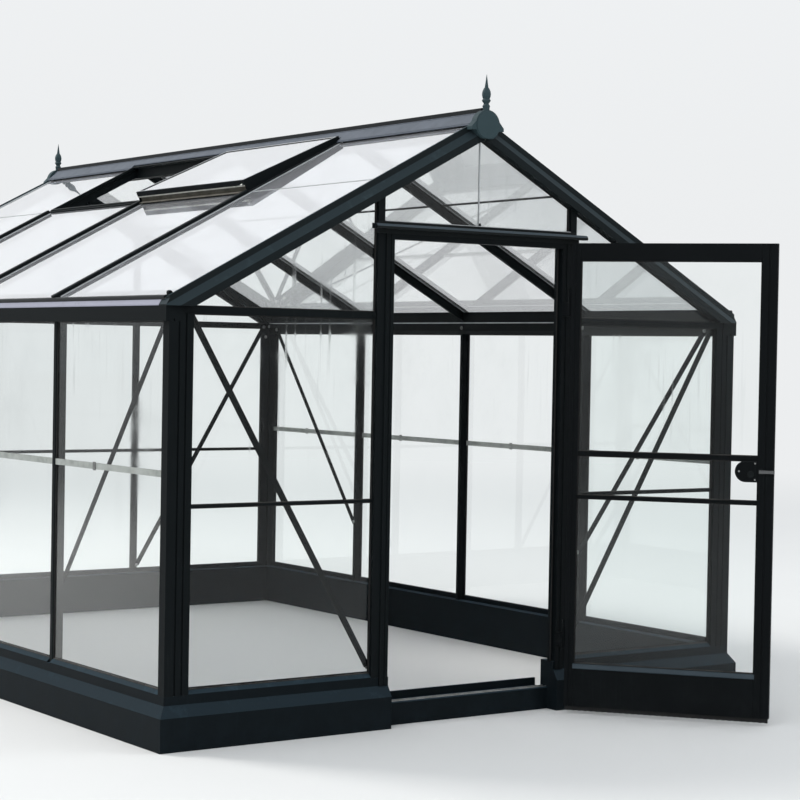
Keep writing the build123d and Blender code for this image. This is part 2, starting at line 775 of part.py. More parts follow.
def gable_stud(foot):
    stud = prism_along_y(
        [
            (STUD_INNER, foot),
            (STUD_INNER, rafter_underside(STUD_INNER)),
            (JAMB_OUTER, rafter_underside(JAMB_OUTER)),
            (JAMB_OUTER, foot),
        ],
        FRONT,
        FRONT + GABLE_DEPTH,
    )
    for start, end in (
        (STUD_INNER, STUD_INNER + GROOVE_DEPTH),
        (JAMB_OUTER - GROOVE_DEPTH, JAMB_OUTER),
    ):
        stud -= block((start, FRONT + GROOVE_NEAR, foot), (end, FRONT + GROOVE_FAR, RIDGE_LINE))
    return stud


front_stud = gable_stud(DRIP_CAP_TOP)
rear_stud = to_rear(gable_stud(PLINTH_TOP))
gable_studs = solids_of(front_stud, across(front_stud), rear_stud, across(rear_stud))
rear_side_rail = to_rear(front_side_rail)
rear_middle_rail = to_rear(gable_rail(-STUD_INNER, STUD_INNER))
gable_rails = solids_of(
    front_side_rail,
    across(front_side_rail),
    rear_side_rail,
    rear_middle_rail,
    across(rear_side_rail),
)


# Ridge beam and ridge cap
def ridge_seat(x_at):
    return RIDGE_LINE - abs(x_at) * SLOPE - SEAT_SINK / math.cos(PITCH)


CAP_INNER_TOP = CAP_TOP - CAP_BEAD_HEIGHT - CAP_WALL


def over_bar_caps(x_at):
    """Height just over the roof bars' caps."""
    return roof_height(HALF_WIDTH - x_at, BAR_CAP_RISE - ROOF_GLASS_SINK) + GLASS_CLEARANCE


def ridge_beam_solid():
    right = [
        (RIDGE_WEB_HALF_WIDTH, CAP_INNER_TOP),
        (RIDGE_WEB_HALF_WIDTH, ridge_seat(RIDGE_WEB_HALF_WIDTH)),
        (RIDGE_HALF_WIDTH, ridge_seat(RIDGE_HALF_WIDTH)),
        (RIDGE_HALF_WIDTH, RIDGE_BOTTOM),
    ]
    left = [(-x_at, height) for x_at, height in reversed(right)]
    return prism_along_y(right + left, FRONT + RAFTER_THICKNESS, REAR - RAFTER_THICKNESS)


def ridge_cap_solid():
    right = [
        (CAP_BEAD_HALF_WIDTH, CAP_TOP),
        (CAP_BEAD_HALF_WIDTH, CAP_TOP - CAP_BEAD_HEIGHT),
        (CAP_HALF_WIDTH, over_bar_caps(CAP_HALF_WIDTH) + CAP_WALL),
        (CAP_HALF_WIDTH, over_bar_caps(CAP_HALF_WIDTH)),
        (CAP_HALF_WIDTH - CAP_WALL, over_bar_caps(CAP_HALF_WIDTH - CAP_WALL)),
        (CAP_BEAD_HALF_WIDTH - CAP_WALL / 2, CAP_INNER_TOP),
    ]
    left = [(-x_at, height) for x_at, height in reversed(right)]
    over_vents = block(
        (-CAP_HALF_WIDTH - CAP_WALL, BAR_LINES[0], RIDGE_BOTTOM),
        (-CAP_VENT_HALF_WIDTH, BAR_LINES[-1], CAP_TOP),
    )
    return prism_along_y(right + left, FRONT, REAR) - over_vents


ridge_beam = ridge_beam_solid()
ridge_cap = ridge_cap_solid()


# Ridge ends: a round cap with two low ears, fitted over the rafters, and a turned finial
def ridge_end():
    plane = Plane(origin=(0, FRONT, DISC_CENTRE), x_dir=(1, 0, 0), z_dir=(0, -1, 0))
    ear_top = EAR_HEIGHT - EAR_FOOT_DROP
    ears = Polyline(
        (-EAR_REACH, -EAR_FOOT_DROP),
        (EAR_REACH, -EAR_FOOT_DROP),
        (EAR_REACH, ear_top),
        (EAR_SHOULDER_HALF_WIDTH, EAR_SHOULDER_RISE),
        (-EAR_SHOULDER_HALF_WIDTH, EAR_SHOULDER_RISE),
        (-EAR_REACH, ear_top),
        close=True,
    )
    back = plane * (Circle(DISC_RADIUS) + make_face(ears))
    cap = extrude(back, amount=DISC_PROJECTION - DISC_STEP)
    raised_disc = plane * Circle(DISC_RADIUS - DISC_STEP)
    raised_disc = extrude(raised_disc, amount=DISC_PROJECTION)
    rim = raised_disc.edges().group_by(Axis.Y)[0]
    cap += chamfer(rim, DISC_STEP / 2)
    cap -= block(
        (-EAR_REACH, FRONT - 2 * DISC_PROJECTION, DISC_CENTRE - 2 * DISC_RADIUS),
        (EAR_REACH, FRONT + DISC_PROJECTION, DISC_CENTRE - DISC_FOOT_DROP),
    )
    return cap - rafter_front_left - rafter_front_right


def finial():
    """A turned spike: a stem, two collars, a leaf-shaped bulge and a drawn-out tip."""
    profile = Polyline(
        (0, -FINIAL_SINK),
        (FINIAL_STEM_RADIUS, -FINIAL_SINK),
        (FINIAL_STEM_RADIUS, FINIAL_STEM_HEIGHT),
        FINIAL_LOW_COLLAR,
        FINIAL_LOW_NECK,
        FINIAL_HIGH_COLLAR,
        FINIAL_HIGH_NECK,
    )
    bulge = Spline(FINIAL_HIGH_NECK, FINIAL_BULGE, FINIAL_SHOULDER)
    shoulder_radius, shoulder_height = FINIAL_SHOULDER
    tip = Polyline(
        FINIAL_SHOULDER, (shoulder_radius - FINIAL_STEP, shoulder_height), (0, FINIAL_HEIGHT)
    )
    axis_line = Line((0, FINIAL_HEIGHT), (0, -FINIAL_SINK))
    outline = Plane.XZ * make_face(Curve() + [profile, bulge, tip, axis_line])
    turned = revolve(outline, axis=Axis.Z)
    return Pos(0, FRONT - DISC_PROJECTION / 2, DISC_CENTRE + DISC_RADIUS) * turned


ridge_end_front = ridge_end() + finial()
ridge_end_rear = to_rear(ridge_end_front)


# Horizontal glazing joints
def joint_outline(height, thickness):
    half = thickness / 2
    half_web = JOINT_WEB / 2
    return [
        (GROOVE_NEAR - JOINT_OUTER_LIP, height - half),
        (GROOVE_NEAR - JOINT_OUTER_LIP, height + half),
        (GROOVE_NEAR, height + half),
        (GROOVE_NEAR, height + half_web),
        (GROOVE_FAR, height + half_web),
        (GROOVE_FAR, height + half),
        (GROOVE_FAR + JOINT_OUTER_LIP, height + half),
        (GROOVE_FAR + JOINT_OUTER_LIP, height - half),
        (GROOVE_FAR, height - half),
        (GROOVE_FAR, height - half_web),
        (GROOVE_NEAR, height - half_web),
        (GROOVE_NEAR, height - half),
    ]


def side_bays():
    """Start and end of the clear width of each side bay, between posts and studs."""
    starts = [FRONT + POST_SIDE_LEG] + [line + BAR_CAP_WIDTH / 2 for line in BAR_LINES]
    ends = [line - BAR_CAP_WIDTH / 2 for line in BAR_LINES] + [REAR - POST_SIDE_LEG]
    return list(zip(starts, ends))


left_joints = [
    prism_along_y(on_left_wall(joint_outline(SIDE_JOINT_HEIGHT, SIDE_JOINT_BAR)), start, end)
    for start, end in side_bays()
]
side_glazing_joints = solids_of(*left_joints, *[across(joint) for joint in left_joints])
front_joint = prism_along_x(
    on_front_gable(joint_outline(GABLE_JOINT_HEIGHT, GABLE_JOINT_BAR)), -POST_INNER, -JAMB_OUTER
)
rear_middle_joint = prism_along_x(
    on_front_gable(joint_outline(GABLE_JOINT_HEIGHT, GABLE_JOINT_BAR)), -STUD_INNER, STUD_INNER
)
gable_glazing_joints = solids_of(
    front_joint,
    across(front_joint),
    to_rear(front_joint),
    to_rear(rear_middle_joint),
    to_rear(across(front_joint)),
)


# Glass
PANE_FOOT = SILL_GROOVE_FLOOR + GLASS_CLEARANCE


def side_pane(start, end, foot, head):
    """A pane of the left wall, biting into the bars beside it."""
    return block(
        (-HALF_WIDTH + GLASS_SETBACK, start - GLASS_BITE, foot),
        (-HALF_WIDTH + GLASS_SETBACK + GLASS_THICKNESS, end + GLASS_BITE, head),
    )


def side_glass():
    panes = []
    gap = JOINT_WEB / 2 + GLASS_CLEARANCE
    for start, end in side_bays():
        panes.append(side_pane(start, end, PANE_FOOT, SIDE_JOINT_HEIGHT - gap))
        panes.append(side_pane(start, end, SIDE_JOINT_HEIGHT + gap, EAVE_BOTTOM + GLASS_BITE))
    return panes


left_panes = side_glass()
glass_left = solids_of(*left_panes)
glass_right = solids_of(*[across(pane) for pane in left_panes])


def gable_pane(points):
    """A pane of the front gable, of an outline of (x, z) points."""
    start = FRONT + GLASS_SETBACK
    return prism_along_y(points, start, start + GLASS_THICKNESS)


def pane_edge(x_at):
    return roof_height(HALF_WIDTH - abs(x_at), -RAFTER_DEPTH + GLASS_BITE)


def lower_gable_panes(left, right):
    gap = JOINT_WEB / 2 + GLASS_CLEARANCE
    low = left - GLASS_BITE
    high = right + GLASS_BITE
    panes = []
    for foot, head in (
        (PANE_FOOT, GABLE_JOINT_HEIGHT - gap),
        (GABLE_JOINT_HEIGHT + gap, RAIL_BOTTOM + GLASS_BITE),
    ):
        panes.append(gable_pane([(low, foot), (low, head), (high, head), (high, foot)]))
    return panes


def corner_gable_pane():
    """The triangle over the rail, between the rafter and the stud."""
    foot = EAVE_SEAM - GLASS_BITE
    high = -JAMB_OUTER + GLASS_BITE
    low = -HALF_WIDTH + (foot - roof_height(0, -RAFTER_DEPTH + GLASS_BITE)) / SLOPE
    return gable_pane([(low, foot), (high, pane_edge(high)), (high, foot)])


def middle_gable_panes(foot):
    """Two panes that meet under the ridge."""
    near = -SILICONE_JOINT / 2
    far = -STUD_INNER - GLASS_BITE
    left = gable_pane([(far, foot), (far, pane_edge(far)), (near, pane_edge(near)), (near, foot)])
    return [left, across(left)]


side_lower = lower_gable_panes(-POST_INNER, -JAMB_OUTER)
side_upper = corner_gable_pane()
gable_side_panes = side_lower + [side_upper]
gable_side_panes += [across(pane) for pane in side_lower + [side_upper]]
glass_front = solids_of(*gable_side_panes, *middle_gable_panes(DRIP_CAP_TOP - GLASS_BITE))
rear_middle_lower = lower_gable_panes(-STUD_INNER, STUD_INNER)
rear_panes = gable_side_panes + rear_middle_lower + middle_gable_panes(EAVE_SEAM - GLASS_BITE)
glass_rear = solids_of(*[to_rear(pane) for pane in rear_panes])


# Roof glass: full panes in the plain bays, short ones below the vents
RIDGE_GLASS_CLEAR = (RIDGE_WEB_HALF_WIDTH + RIDGE_GLASS_GAP) / math.cos(PITCH)
RIDGE_GLASS_END = SLOPE_LENGTH - RIDGE_GLASS_CLEAR - SEAT_SINK * SLOPE
ROOF_GLASS_START = -ROOF_GLASS_OVERHANG / math.cos(PITCH)


def roof_bays():
    """Start and end of the clear width of each roof bay."""
    inset = RAFTER_REBATE + ROOF_PANE_GAP + GLASS_BITE
    starts = [FRONT + inset] + [line + BAR_CAP_WIDTH / 2 for line in BAR_LINES]
    ends = [line - BAR_CAP_WIDTH / 2 for line in BAR_LINES] + [REAR - inset]
    return list(zip(starts, ends))


def roof_pane(start, end, low, high):
    outline = [
        (0, -ROOF_GLASS_SINK),
        (end - start + 2 * GLASS_BITE, -ROOF_GLASS_SINK),
        (end - start + 2 * GLASS_BITE, -ROOF_GLASS_SINK - GLASS_THICKNESS),
        (0, -ROOF_GLASS_SINK - GLASS_THICKNESS),
    ]
    return along_slope(outline, start - GLASS_BITE, low, high)


VENT_SILL_LOW = VENT_SILL_AT - VENT_SILL_WIDTH / 2
VENT_SILL_HIGH = VENT_SILL_AT + VENT_SILL_WIDTH / 2


def roof_panes(vented):
    panes = []
    half_joint = SILICONE_JOINT / 2
    for index, (start, end) in enumerate(roof_bays()):
        if index in vented:
            panes.append(roof_pane(start, end, ROOF_GLASS_START, VENT_SILL_LOW + GLASS_BITE))
        else:
            panes.append(roof_pane(start, end, ROOF_GLASS_START, VENT_SILL_AT - half_joint))
            panes.append(roof_pane(start, end, VENT_SILL_AT + half_joint, RIDGE_GLASS_END))
    return panes


VENT_BAYS = (1, 2)
glass_roof_left = solids_of(*roof_panes(VENT_BAYS))
glass_roof_right = solids_of(*[across(pane) for pane in roof_panes(())])


# Vent openings in the left slope: a sill bar across each, and one raised sash
def vent_sill(start, end):
    """A bar across the bay, with a groove for the pane below it."""
    low = VENT_SILL_LOW
    high = VENT_SILL_HIGH
    groove_top = -ROOF_GLASS_SINK + GLASS_CLEARANCE
    outline = [
        (low, BAR_CAP_RISE - ROOF_GLASS_SINK),
        (high, BAR_CAP_RISE - ROOF_GLASS_SINK),
        (high, -VENT_SILL_DEPTH),
        (low, -VENT_SILL_DEPTH),
        (low, -SEAT_SINK),
        (low + GROOVE_DEPTH, -SEAT_SINK),
        (low + GROOVE_DEPTH, groove_top),
        (low, groove_top),
    ]
    points = [slope_point(along, square) for along, square in outline]
    return prism_along_y(points, start, end)


def slope_point(along, square):
    """X and Z of a point of the left slope, along it and square to it."""
    x_at = -HALF_WIDTH + along * math.cos(PITCH) - square * math.sin(PITCH)
    z_at = EAVE_LINE + along * math.sin(PITCH) + square * math.cos(PITCH)
    return (x_at, z_at)


vent_bays = [roof_bays()[index] for index in VENT_BAYS]
vent_sills = solids_of(*[vent_sill(start, end) for start, end in vent_bays])

SASH_TOP = SLOPE_LENGTH - VENT_TOP_MARGIN
SASH_FOOT = VENT_SILL_LOW
SASH_START = vent_bays[0][0] - BAR_CAP_WIDTH / 2 + VENT_SIDE_GAP
SASH_END = vent_bays[0][1] + BAR_CAP_WIDTH / 2 - VENT_SIDE_GAP


def raised(shape):
    """A sash piece turned about the sash's upper edge, so that its foot stands open."""
    x_at, z_at = slope_point(SASH_TOP, BAR_CAP_RISE - ROOF_GLASS_SINK)
    return shape.rotate(Axis((x_at, 0, z_at), (0, 1, 0)), VENT_ANGLE)


def sash_block(y_low, y_high, low, high, base, top):
    points = [slope_point(low, base), slope_point(high, base)]
    points += [slope_point(high, top), slope_point(low, top)]
    return prism_along_y(points, y_low, y_high)


SASH_BASE = BAR_CAP_RISE - ROOF_GLASS_SINK
SASH_HEAD = SASH_BASE + VENT_FRAME_DEPTH
SASH_GLASS_TOP = SASH_HEAD - VENT_GLASS_SINK


def vent_sash_frame():
    outer = sash_block(SASH_START, SASH_END, SASH_FOOT, SASH_TOP, SASH_BASE, SASH_HEAD)
    inner = sash_block(
        SASH_START + VENT_FRAME_WIDTH,
        SASH_END - VENT_FRAME_WIDTH,
        SASH_FOOT + VENT_FRAME_WIDTH,
        SASH_TOP - VENT_FRAME_WIDTH,
        SASH_BASE - 1,
        SASH_HEAD + 1,
    )
    groove_inset = VENT_FRAME_WIDTH - VENT_GROOVE_DEPTH
    rebate = sash_block(
        SASH_START + groove_inset,
        SASH_END - groove_inset,
        SASH_FOOT + groove_inset,
        SASH_TOP - groove_inset,
        SASH_GLASS_TOP - GLASS_THICKNESS - GLASS_CLEARANCE,
        SASH_GLASS_TOP + GLASS_CLEARANCE,
    )
    return outer - inner - rebate


def vent_sash_pane():
    pane_inset = VENT_FRAME_WIDTH - VENT_GLASS_BITE
    return sash_block(
        SASH_START + pane_inset,
        SASH_END - pane_inset,
        SASH_FOOT + pane_inset,
        SASH_TOP - pane_inset,
        SASH_GLASS_TOP - GLASS_THICKNESS,
        SASH_GLASS_TOP,
    )


vent_sash = raised(vent_sash_frame())
vent_sash_glass = raised(vent_sash_pane())


# Braces: flat bars bolted to the inner faces
def sloped_bar(start, end, width):
    """Outline of a straight bar between two points, with square ends."""
    run = end[0] - start[0]
    rise = end[1] - start[1]
    length = math.hypot(run, rise)
    shift_a = -rise / length * width / 2
    shift_b = run / length * width / 2
    return [
        (start[0] + shift_a, start[1] + shift_b),
        (end[0] + shift_a, end[1] + shift_b),
        (end[0] - shift_a, end[1] - shift_b),
        (start[0] - shift_a, start[1] - shift_b),
    ]


def gable_brace():
    top = (-POST_INNER, RAIL_BOTTOM + BRACE_HEAD_OVERLAP)
    foot = (-JAMB_OUTER, PLINTH_TOP + BRACE_FOOT_RISE)
    near = FRONT + GABLE_DEPTH
    return prism_along_y(sloped_bar(top, foot, BRACE_WIDTH), near, near + BRACE_THICKNESS)


def side_brace():
    top = (FRONT + SIDE_BRACE_TOP_INSET, EAVE_BOTTOM + BRACE_WIDTH)
    foot = (BAR_LINES[0], SIDE_BRACE_FOOT)
    near = -HALF_WIDTH + EAVE_INNER
    return prism_along_x(sloped_bar(top, foot, BRACE_WIDTH), near, near + BRACE_THICKNESS)


front_brace = gable_brace()
gable_braces = solids_of(
    front_brace, across(front_brace), to_rear(front_brace), to_rear(across(front_brace))
)
left_brace = side_brace()
side_braces = solids_of(
    left_brace, to_rear(left_brace), across(left_brace), across(to_rear(left_brace))
)


# Door leaf, drawn closed and then swung open about the hinge axis
LEAF_BACK = FRONT - LEAF_GAP_TO_FACE
LEAF_FRONT = LEAF_BACK - LEAF_THICKNESS
LEAF_HINGE_EDGE = JAMB_HALF_OPENING - LEAF_GAP_HINGE
LEAF_LOCK_EDGE = -JAMB_HALF_OPENING + LEAF_GAP_LOCK
HINGE_X = LEAF_HINGE_EDGE + HINGE_EDGE_GAP
HINGE_Y = LEAF_FRONT + HINGE_AXIS_OUT
LEAF_GLASS_Y = (LEAF_BACK + LEAF_FRONT) / 2


def swung(shape):
    return shape.rotate(Axis((HINGE_X, HINGE_Y, 0), (0, 0, 1)), LEAF_OPEN_ANGLE)


def leaf_groove_y():
    half = GLASS_THICKNESS / 2 + GLASS_CLEARANCE
    return (LEAF_GLASS_Y - half, LEAF_GLASS_Y + half)


def leaf_stile(outer_edge, inner_edge):
    """A full-height stile with a glass groove and a shallow rib on each face."""
    low = min(outer_edge, inner_edge)
    high = max(outer_edge, inner_edge)
    stile = block((low, LEAF_FRONT, LEAF_BOTTOM), (high, LEAF_BACK, LEAF_TOP))
    into = 1 if inner_edge > outer_edge else -1
    groove = sorted((inner_edge, inner_edge - into * GROOVE_DEPTH))
    near, far = leaf_groove_y()
    foot = LEAF_BOTTOM + BOTTOM_RAIL - GROOVE_DEPTH
    head = LEAF_TOP - TOP_RAIL + GROOVE_DEPTH
    stile -= block((groove[0], near, foot), (groove[1], far, head))
    middle = (low + high) / 2
    half = POST_RIB_WIDTH / 2
    for y_low, y_high in (
        (LEAF_FRONT, LEAF_FRONT + LEAF_RIB_DEPTH),
        (LEAF_BACK - LEAF_RIB_DEPTH, LEAF_BACK),
    ):
        stile -= block((middle - half, y_low, LEAF_BOTTOM), (middle + half, y_high, LEAF_TOP))
    return stile


LEAF_GLASS_LEFT = LEAF_LOCK_EDGE + LOCK_STILE
LEAF_GLASS_RIGHT = LEAF_HINGE_EDGE - HINGE_STILE
LEAF_GLASS_FOOT = LEAF_BOTTOM + BOTTOM_RAIL
LEAF_GLASS_HEAD = LEAF_TOP - TOP_RAIL


def leaf_rail(foot, head, groove_below, groove_above):
    rail = block(
        (LEAF_GLASS_LEFT, LEAF_FRONT, foot),
        (LEAF_GLASS_RIGHT, LEAF_BACK, head),
    )
    near, far = leaf_groove_y()
    if groove_below:
        rail -= block(
            (LEAF_GLASS_LEFT, near, foot), (LEAF_GLASS_RIGHT, far, foot + GROOVE_DEPTH)
        )
    if groove_above:
        rail -= block(
            (LEAF_GLASS_LEFT, near, head - GROOVE_DEPTH), (LEAF_GLASS_RIGHT, far, head)
        )
    return rail


def leaf_bar(height, thickness):
    """A glazing bar of an H section across the leaf."""
    near, far = leaf_groove_y()
    low = height - thickness / 2
    high = height + thickness / 2
    inset = 2 * LEAF_RIB_DEPTH
    bar = block(
        (LEAF_GLASS_LEFT, LEAF_FRONT + inset, low), (LEAF_GLASS_RIGHT, LEAF_BACK - inset, high)
    )
    half_web = JOINT_WEB / 2
    for start, end in ((low, height - half_web), (height + half_web, high)):
        bar -= block((LEAF_GLASS_LEFT, near, start), (LEAF_GLASS_RIGHT, far, end))
    return bar


def lock_outline(grow):
    """A half-round case against the lock stile, as a face on the XZ plane."""
    centre = LOCK_HEIGHT
    left = LEAF_GLASS_LEFT - grow
    corner = LOCK_REACH - LOCK_RADIUS
    arc_x = LEAF_GLASS_LEFT + corner
    radius = LOCK_RADIUS + grow
    path = [
        Line((left, centre - radius), (arc_x, centre - radius)),
        ThreePointArc(
            (arc_x, centre - radius), (arc_x + radius, centre), (arc_x, centre + radius)
        ),
        Line((arc_x, centre + radius), (left, centre + radius)),
        Line((left, centre + radius), (left, centre - radius)),
    ]
    return make_face(Curve() + path)


def lock_body(grow):
    y_start = LEAF_BACK - (LEAF_THICKNESS - LOCK_DEPTH) / 2 + grow
    plane = Plane(origin=(0, y_start, 0), x_dir=(1, 0, 0), z_dir=(0, -1, 0))
    return extrude(plane * lock_outline(grow), amount=LOCK_DEPTH + 2 * grow)


def leaf_panes():
    near = LEAF_GLASS_Y - GLASS_THICKNESS / 2
    far = LEAF_GLASS_Y + GLASS_THICKNESS / 2
    left = LEAF_GLASS_LEFT - GLASS_BITE
    right = LEAF_GLASS_RIGHT + GLASS_BITE
    gap = JOINT_WEB / 2 + GLASS_CLEARANCE
    spans = [
        (LEAF_GLASS_FOOT - GLASS_BITE, LOWER_BAR_HEIGHT - gap),
        (LOWER_BAR_HEIGHT + gap, UPPER_BAR_HEIGHT - gap),
        (UPPER_BAR_HEIGHT + gap, LEAF_GLASS_HEAD + GLASS_BITE),
    ]
    panes = [block((left, near, foot), (right, far, head)) for foot, head in spans]
    panes[1] = (panes[1] - lock_body(GLASS_CLEARANCE)) - block(
        (left, near, LOWER_BAR_HEIGHT), (LEAF_GLASS_LEFT + 1, far, UPPER_BAR_HEIGHT)
    )
    return panes


def door_pull():
    """A D-shaped pull on the outer face of the lock stile."""
    middle = LEAF_LOCK_EDGE + LOCK_STILE / 2
    low = LOCK_HEIGHT - PULL_HEIGHT / 2
    high = LOCK_HEIGHT + PULL_HEIGHT / 2
    outer = block(
        (middle - PULL_BAR / 2, LEAF_FRONT - PULL_REACH, low),
        (middle + PULL_BAR / 2, LEAF_FRONT, high),
    )
    inner = block(
        (middle - PULL_BAR, LEAF_FRONT - PULL_REACH + PULL_BAR, low + PULL_BAR),
        (middle + PULL_BAR, LEAF_FRONT, high - PULL_BAR),
    )
    return fillet((outer - inner).edges().filter_by(Axis.X), PULL_BAR / 4)


def door_lever():
    """The inside lever, on a round stub out of the lock stile."""
    pivot_x = LEAF_LOCK_EDGE + LOCK_STILE - LEVER_HEIGHT
    tip_x = pivot_x + LEVER_HEIGHT / 2
    half_way = LEAF_BACK + LEVER_STANDOFF / 2
    stub = Cylinder(LEVER_HEIGHT / 2, LEVER_STANDOFF)
    stub = Pos(pivot_x, half_way, LOCK_HEIGHT) * Rot(90, 0, 0) * stub
    arm = block(
        (tip_x - LEVER_LENGTH, half_way, LOCK_HEIGHT - LEVER_HEIGHT / 2),
        (tip_x, LEAF_BACK + LEVER_STANDOFF, LOCK_HEIGHT + LEVER_HEIGHT / 2),
    )
    return stub + arm


door_hinge_stile = swung(leaf_stile(LEAF_HINGE_EDGE, LEAF_GLASS_RIGHT))
door_lock_stile = swung(leaf_stile(LEAF_LOCK_EDGE, LEAF_GLASS_LEFT))
door_top_rail = swung(leaf_rail(LEAF_GLASS_HEAD, LEAF_TOP, True, False))
door_bottom_rail = swung(leaf_rail(LEAF_BOTTOM, LEAF_GLASS_FOOT, False, True))
door_glazing_bars = swung(
    solids_of(leaf_bar(UPPER_BAR_HEIGHT, UPPER_BAR), leaf_bar(LOWER_BAR_HEIGHT, LOWER_BAR))
)
glass_door = swung(solids_of(*leaf_panes()))
door_lock_case = swung(lock_body(0))
door_handles = swung(solids_of(door_pull(), door_lever()))


# Lift-off hinges: the lower knuckle and its pin on the jamb, the upper knuckle on the leaf
def hinge_fixed(foot):
    knuckle = Pos(HINGE_X, HINGE_Y, foot + KNUCKLE_LENGTH / 2) * Cylinder(
        KNUCKLE_RADIUS, KNUCKLE_LENGTH
    )
    pin = Pos(HINGE_X, HINGE_Y, foot + KNUCKLE_LENGTH) * Cylinder(
        PIN_RADIUS, 2 * (KNUCKLE_LENGTH - KNUCKLE_RADIUS)
    )
    jamb_face = FRONT - JAMB_PROJECTION
    web = block(
        (HINGE_X, HINGE_Y, foot), (HINGE_X + HINGE_WEB, jamb_face, foot + KNUCKLE_LENGTH)
    )
    plate = block(
        (HINGE_X, jamb_face - HINGE_WEB, foot),
        (HINGE_X + HINGE_FOOT, jamb_face, foot + KNUCKLE_LENGTH),
    )
    return knuckle + pin + web + plate


def hinge_moving(foot):
    start = foot + KNUCKLE_LENGTH + KNUCKLE_GAP
    knuckle = Pos(HINGE_X, HINGE_Y, start + KNUCKLE_LENGTH / 2) * Cylinder(
        KNUCKLE_RADIUS, KNUCKLE_LENGTH
    )
    strap = block(
        (LEAF_HINGE_EDGE - HINGE_STRAP, LEAF_FRONT - HINGE_PLATE, start),
        (HINGE_X, LEAF_FRONT, start + KNUCKLE_LENGTH),
    )
    bore = Pos(HINGE_X, HINGE_Y, start + KNUCKLE_LENGTH / 2) * Cylinder(
        PIN_RADIUS + PIN_CLEARANCE, KNUCKLE_LENGTH
    )
    return knuckle + strap - bore


hinges_fixed = solids_of(*[hinge_fixed(height) for height in HINGE_HEIGHTS])
hinges_moving = swung(solids_of(*[hinge_moving(height) for height in HINGE_HEIGHTS]))


NODES = {
    "base_left": base_left,
    "base_right": base_right,
    "base_rear": base_rear,
    "base_front_left": base_front_left,
    "base_front_right": base_front_right,
    "door_threshold": door_threshold,
    "corner_posts": corner_posts,
    "side_studs": side_studs,
    "eave_left": eave_left,
    "eave_right": eave_right,
    "rafter_front_left": rafter_front_left,
    "rafter_front_right": rafter_front_right,
    "rafter_rear_left": rafter_rear_left,
    "rafter_rear_right": rafter_rear_right,
    "roof_bars": roof_bars,
    "ridge_beam": ridge_beam,
    "ridge_cap": ridge_cap,
    "ridge_end_front": ridge_end_front,
    "ridge_end_rear": ridge_end_rear,
    "gable_rails": gable_rails,
    "gable_studs": gable_studs,
    "door_jambs": door_jambs,
    "door_head": door_head,
    "door_drip_cap": door_drip_cap,
    "side_glazing_joints": side_glazing_joints,
    "gable_glazing_joints": gable_glazing_joints,
    "gable_braces": gable_braces,
    "side_braces": side_braces,
    "vent_sills": vent_sills,
    "vent_sash": vent_sash,
    "vent_sash_glass": vent_sash_glass,
    "glass_left": glass_left,
    "glass_right": glass_right,
    "glass_front": glass_front,
    "glass_rear": glass_rear,
    "glass_roof_left": glass_roof_left,
    "glass_roof_right": glass_roof_right,
    "hinges_fixed": hinges_fixed,
    "hinges_moving": hinges_moving,
    "door_hinge_stile": door_hinge_stile,
    "door_lock_stile": door_lock_stile,
    "door_top_rail": door_top_rail,
    "door_bottom_rail": door_bottom_rail,
    "door_glazing_bars": door_glazing_bars,
    "door_lock_case": door_lock_case,
    "door_handles": door_handles,
    "glass_door": glass_door,
}

os.makedirs("parts", exist_ok=True)
for name, shape in NODES.items():
    export_step(shape, f"parts/{name}.step")
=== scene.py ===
import logging
import math
from collections.abc import Callable, Sequence
from dataclasses import dataclass
from enum import Enum

import bmesh
import bpy
import numpy as np
from bpy.types import Material, Mesh, Node, NodeTree, Object
from bpy.types import NodeSocket as Socket
from mathutils import Matrix


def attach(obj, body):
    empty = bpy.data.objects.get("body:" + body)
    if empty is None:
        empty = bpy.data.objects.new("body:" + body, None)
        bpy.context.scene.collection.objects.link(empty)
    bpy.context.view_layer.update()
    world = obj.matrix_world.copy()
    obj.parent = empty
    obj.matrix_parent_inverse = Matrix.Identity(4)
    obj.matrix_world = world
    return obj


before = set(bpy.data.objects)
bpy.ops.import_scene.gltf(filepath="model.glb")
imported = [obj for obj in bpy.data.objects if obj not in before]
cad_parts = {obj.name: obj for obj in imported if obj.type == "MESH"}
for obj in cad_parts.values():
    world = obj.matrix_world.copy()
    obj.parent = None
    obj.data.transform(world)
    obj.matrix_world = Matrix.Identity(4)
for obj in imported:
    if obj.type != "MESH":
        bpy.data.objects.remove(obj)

LOG = logging.getLogger("greenhouse")

Pair = tuple[float, float]
Point = tuple[float, float, float]
Colour = tuple[float, float, float, float]
Measure = float | np.ndarray
Vector = Point | np.ndarray
Value = Socket | float


class Side(Enum):
    """The two long walls and slopes, by the sign of X."""

    LEFT = -1
    RIGHT = 1


class Rides(Enum):
    """The CAD bodies that pieces ride on."""

    BUILDING = "building"
    DOOR = "door"


class Slot(Enum):
    """The record's material slots."""

    FRAME = "frame"
    BASE = "base"
    RIDGE = "ridge"
    CASTINGS = "castings"
    DOOR_FRAME = "door_frame"
    BARE_ALUMINIUM = "bare_aluminium"
    STEEL = "steel"
    GLASS = "glass"


